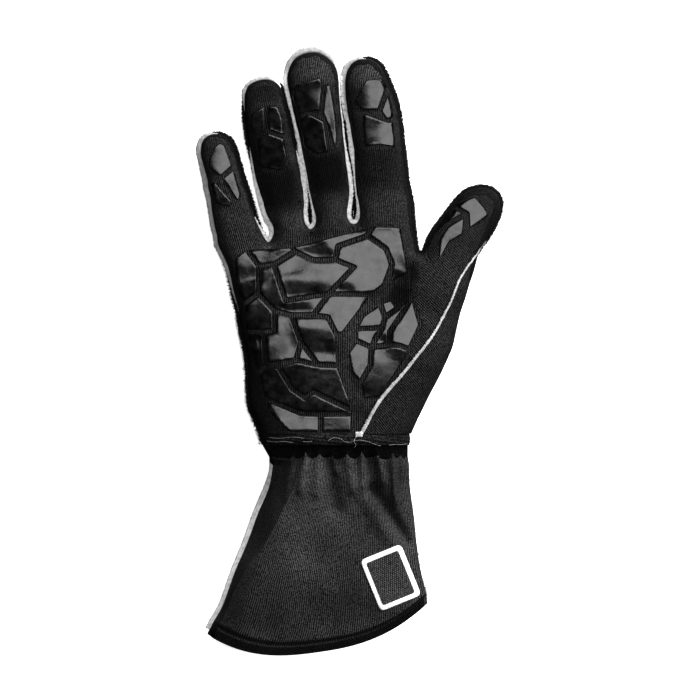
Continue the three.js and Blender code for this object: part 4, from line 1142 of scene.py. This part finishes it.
def cuff_surface(rows, across, front=True):
    """Points of the cuff's front or back over its rows."""
    left, right = rows[:, None, 0:2], rows[:, None, 2:4]
    spot = left + (right - left) * ((across[None, :, None] + 1) / 2)
    x = spot[..., 0]
    y = spot[..., 1] + rows[:, 5:6] * (1 - np.abs(across)[None] ** 2.6)
    seam = seam_height(y)
    lift = superellipse(np.abs(across)[None], CUFF_POWER) * np.ones_like(x)
    if not front:
        return np.dstack([x, y, np.maximum(0, seam - (seam + 2) * lift)])
    crease = np.interp(y, CREASE["y"], CREASE["x"])
    crease = np.maximum(2 * (crease - left[..., 0]) / (right[..., 0] - left[..., 0]) - 1, -0.95)
    beyond = np.clip((crease - across) / (crease + 1), 0, 1)
    before = np.clip((across - crease) / (1 - crease), 0, 1)
    creased = (1 - beyond) * (1 - 0.2 * before) * (1 - before**4) ** 0.25
    lift = lift + (creased - lift) * smoothstep(-57, -63, y)
    flat_x, flat_y = x.ravel(), y.ravel()
    fold = folds_height(CUFF_FOLDS, flat_x, flat_y) + folds_height(GATHERS, flat_x, flat_y)
    fold += 0.3 * ripples(flat_x, flat_y, 24, 31)
    z = seam + (rows[:, 4:5] - seam) * lift + fold.reshape(x.shape) * np.minimum(1, 1.5 * lift)
    return np.dstack([x, y, z])


def across_spots(count):
    """Places across the cuff from -1 to 1, close together at its sides."""
    cosine = -np.cos(np.linspace(0, math.pi, count))
    return np.sign(cosine) * np.abs(cosine) ** (2 / CUFF_POWER)


def cuff_cloth(side, grid, turn=1, **tones):
    """The cuff's front or back. A column's ribs lie as far out as it does in the middle row."""
    far = travelled(grid[len(grid) // 2, :, ::2])
    rib = np.broadcast_to(far - far[len(far) // 2], grid.shape[:2]).ravel()
    shape = grid.reshape(-1, 3), quads(*grid.shape[:2])[:, ::turn]
    knit = {"rib": rib, "run": grid[..., 1].ravel(), **tones}
    piece(f"cuff_{side}_cloth", shape, [f"cuff_{side}"], cuff_knit, knit, wall=CUFF_CLOTH)


spots = across_spots(FRONT_GRID[1])
front_grid = cuff_surface(cuff_rows(FRONT_GRID[0]), spots)
from_groove = np.linspace(ELASTIC_ROW, MOUTH_ROW, FRONT_GRID[0]) - GROOVE["row"]
groove = np.exp(-((from_groove / GROOVE["width"]) ** 2))
front_grid[..., 2] -= GROOVE["depth"] * groove[:, None] * (np.abs(spots) < 0.97)
near = np.abs(front_grid[..., 0][..., None] - GATHERS["fromX"]) / (0.7 * GATHERS["width"])
flame = (FLAMES["rise"] * (GATHERS["height"] - FLAMES["least"]) * np.exp(-near)).sum(-1) - FLAMES["sink"]
fade = np.exp(-(ELASTIC_END - front_grid[..., 1]) / FLAMES["fade"])
front_grid[..., 1] += flame * fade * (np.abs(spots) < 0.95)
x, y, _ = front_grid.reshape(-1, 3).T
# painted shade in the groove above the hem, plus the charted painted light and shade, passed on as stretch
tone = -4 * np.repeat(groove, len(spots))
for *shape, value in zip(*CUFF_PAINTED_SHADING.values()):
    tone += value * oval(x, y, *shape, power=2)
cuff_cloth("front", front_grid, turn=-1, stretch=np.clip(tone, -2.8, 1))
cuff_cloth("back", cuff_surface(cuff_rows(BACK_GRID[0]), across_spots(BACK_GRID[1]), front=False))


def tube(name, rows, grow, thickness, material, node, slant=0.8):
    """A closed band round the glove over the given rows; its knit's ribs slant across it."""
    spots = across_spots(181)
    back_spots = spots[1:-1][::-1]
    ring = np.concatenate([cuff_surface(rows, spots), cuff_surface(rows, back_spots, front=False)], axis=1)
    away_from_seam = np.sign(ring[..., 2] - seam_height(ring[..., 1]))
    ring[..., 2] += grow * away_from_seam * (np.abs(np.r_[spots, back_spots])[None] < 0.97)
    ring[..., 2] = np.maximum(ring[..., 2], 0)
    knit = {"rib": (ring[..., 1] + ring[..., 0] * slant).ravel(), "run": ring[..., 0].ravel()}
    faces = quads(*ring.shape[:2], closed=True)[:, ::-1]
    piece(name, (ring.reshape(-1, 3), faces), [node], material, knit, wall=thickness)


def level_rows(levels, left, right, top):
    """Rows straight across at the given levels, in the columns of CUFF_ROWS."""
    return np.column_stack(np.broadcast_arrays(left, levels, right, levels, top, 0.0))


levels = np.linspace(HAND_END + 0.5, BAND_END, 12)
bulge = np.sin(np.linspace(0, math.pi, 12))
left = np.interp(levels, [BAND_END, HAND_END], [-46.5, -48.6]) - 0.6 * bulge
tube("wrist_band", level_rows(levels, left, 32.2 + 0.5 * bulge, 25.6 + 0.9 * bulge),
     0, 1.6, band_knit, "wrist_seam", slant=0.12)
levels = np.linspace(BAND_END + 0.5, ELASTIC_END - 4.0, 14)
left = np.interp(levels, [ELASTIC_END, BAND_END], [-43.8, -47.5])
tube("elastic", level_rows(levels, left, 31.4, np.interp(levels, [-62, -55, -51], [20.5, 20.5, 23])),
     0, 1.4, elastic_cloth, "wrist_elastic")
tube("hem", cuff_rows(14, first=9.15), 0.7, 2.6, hem_twill, "hem_band")

# the piping along the cuff's left side
pipe_rows = cuff_rows(160, first=2.6, last=9.6)
pipe = pipe_rows[:, :2]
pipe_normal = -outward(pipe)
pipe_reach = 0.8 + 1.5 * smoothstep(0, 15, -63 - pipe[:, 1])
wobble = random.uniform(-0.12, 0.12, (len(pipe), 1))
shape = strip(pipe, pipe_normal, seam_height(pipe[:, 1]) + 0.4, -1.2, pipe_reach, 1.4, wobble)
# the valley value paints the piping part way lighter against its shadow: painted light
piece("piping", shape, ["cuff_piping"], light_seam, {"valley": np.full(len(shape[0]), 0.3)})

# the plain patch near the hem
cuff_tree = BVHTree.FromPolygons(front_grid.reshape(-1, 3).tolist(), quads(*FRONT_GRID).tolist())


def cuff_height(points):
    down = Vector((0, 0, -1))
    return np.array([cuff_tree.ray_cast(Vector((x, y, 100)), down)[0].z for x, y in points])


def patch_outline(width, height, corner):
    turn = math.radians(PATCH["tilt"])
    spin = np.array([[math.cos(turn), math.sin(turn)], [-math.sin(turn), math.cos(turn)]])
    box = np.array([(-1, -1), (1, -1), (1, 1), (-1, 1)]) * (width / 2, height / 2)
    return rounded(box @ spin + (PATCH["x"], PATCH["y"]), corner, 0.7)


width, height, border = PATCH["width"], PATCH["height"], 2 * PATCH["border"]
shape = plate(patch_outline(width, height, PATCH["corner"]), cuff_height, 0.7)
piece("patch_edge", shape, ["patch_border"], white_cloth)
shape = plate(patch_outline(width - border, height - border, FIELD_CORNER), cuff_height, 0.95, rim=0.3)
knit = {"rib": shape[0][:, 0], "run": shape[0][:, 1]}
piece("patch_middle", shape, ["patch_field"], patch_cloth, knit)


# Threads and fuzz


def thread(points, radius):
    """A thin round strand through points. Returns points and faces."""
    sides = 5
    middle, _ = resample(points, 0.6)
    along = unit(np.gradient(middle, axis=0))
    aside = unit(np.cross(along, [0, 0, 1.0]))
    upright = np.cross(aside, along)
    turn = np.linspace(0, 2 * math.pi, sides, endpoint=False)[None, :, None]
    ring = middle[:, None] + radius * (np.cos(turn) * aside[:, None] + np.sin(turn) * upright[:, None])
    cap = [tuple(range(sides))[::-1], tuple(range(len(ring) * sides - sides, len(ring) * sides))]
    return ring.reshape(-1, 3), [tuple(q) for q in quads(len(ring), sides, closed=True)] + cap


def fringe(path, normal, z, reach, spacing, low, high, width, spread=0.7):
    """Tapered three-sided hairs that stand out along a path, at random places and angles."""
    count = int(len(path) * EDGE_STEP / spacing)
    i = random.uniform(0, len(path) - 1.01, count).astype(int)
    turn = np.arctan2(normal[i, 1], normal[i, 0]) + random.normal(0, spread, count)
    ways = unit(np.c_[np.cos(turn), np.sin(turn), random.normal(0, 0.25, count)])
    out = (reach[i] - 0.3)[:, None]
    roots = np.c_[path[i, :2] + normal[i] * out, z[i] + random.uniform(-0.4, 0.4, count)]
    tips = roots + ways * random.uniform(low, high, count)[:, None]
    aside = unit(np.cross(ways, [0, 0, 1.0]))
    upright = np.cross(aside, ways)
    base = [roots + width * (math.cos(a) * aside + math.sin(a) * upright) for a in (0, 2.1, 4.2)]
    first = np.arange(count)[:, None] * 4
    faces = np.stack([first + f for f in ([0, 1, 3], [1, 2, 3], [2, 0, 3], [2, 1, 0])], 1).reshape(-1, 3)
    return np.stack(base + [tips], 1).reshape(-1, 3), faces


def edge_fringe(which, rise, reach, *sizes):
    z = np.full(len(edge), SEAM_Z + rise)
    return fringe(edge[which], edge_normal[which], z[which], reach[which], *sizes)


hand_left = in_hand & (edge_label == "hand_left")
right_pipe = pipe_rows[:, 2:4]
# the last numbers of each row are the hairs' spacing, least and greatest length and radius
fuzz = joined([
    edge_fringe(in_hand & (dark_reach > 0.2), -0.7, dark_reach, 0.25, 0.6, 1.7, 0.2),
    edge_fringe(hand_left, -0.7, dark_reach, 0.3, 1.2, 2.8, 0.18, 0.5),
    fringe(pipe, pipe_normal, seam_height(pipe[:, 1]), pipe_reach + 0.1, 0.4, 0.5, 1.3, 0.12),
    fringe(right_pipe, outward(right_pipe), seam_height(right_pipe[:, 1]), np.full(len(pipe), 0.4),
           0.3, 0.5, 1.3, 0.14),
    fringe(seam_curve, -seam_normal, palm_height(seam_line) + 0.3, half + 0.5, 0.3, 0.5, 1.3, 0.12),
])
piece("dark_fuzz", fuzz, [], dark_seam, smooth=False)
fuzz = edge_fringe(in_hand & (light_reach > 1.0), 0.5, light_reach, 0.7, 0.4, 1.1, 0.12)
piece("light_fuzz", fuzz, [], light_seam, smooth=False)

parts = []
for text in THREADS.values():
    x, y = numbers(text).T
    band_z = BAND_Z + 0.5 * np.sin(y) - 1.5 * (np.abs(x) / 45) ** 4 * 4
    parts.append(thread(np.c_[x, y, band_z + 1.5], 0.09))
piece("loose_threads", joined(parts), [], light_seam)
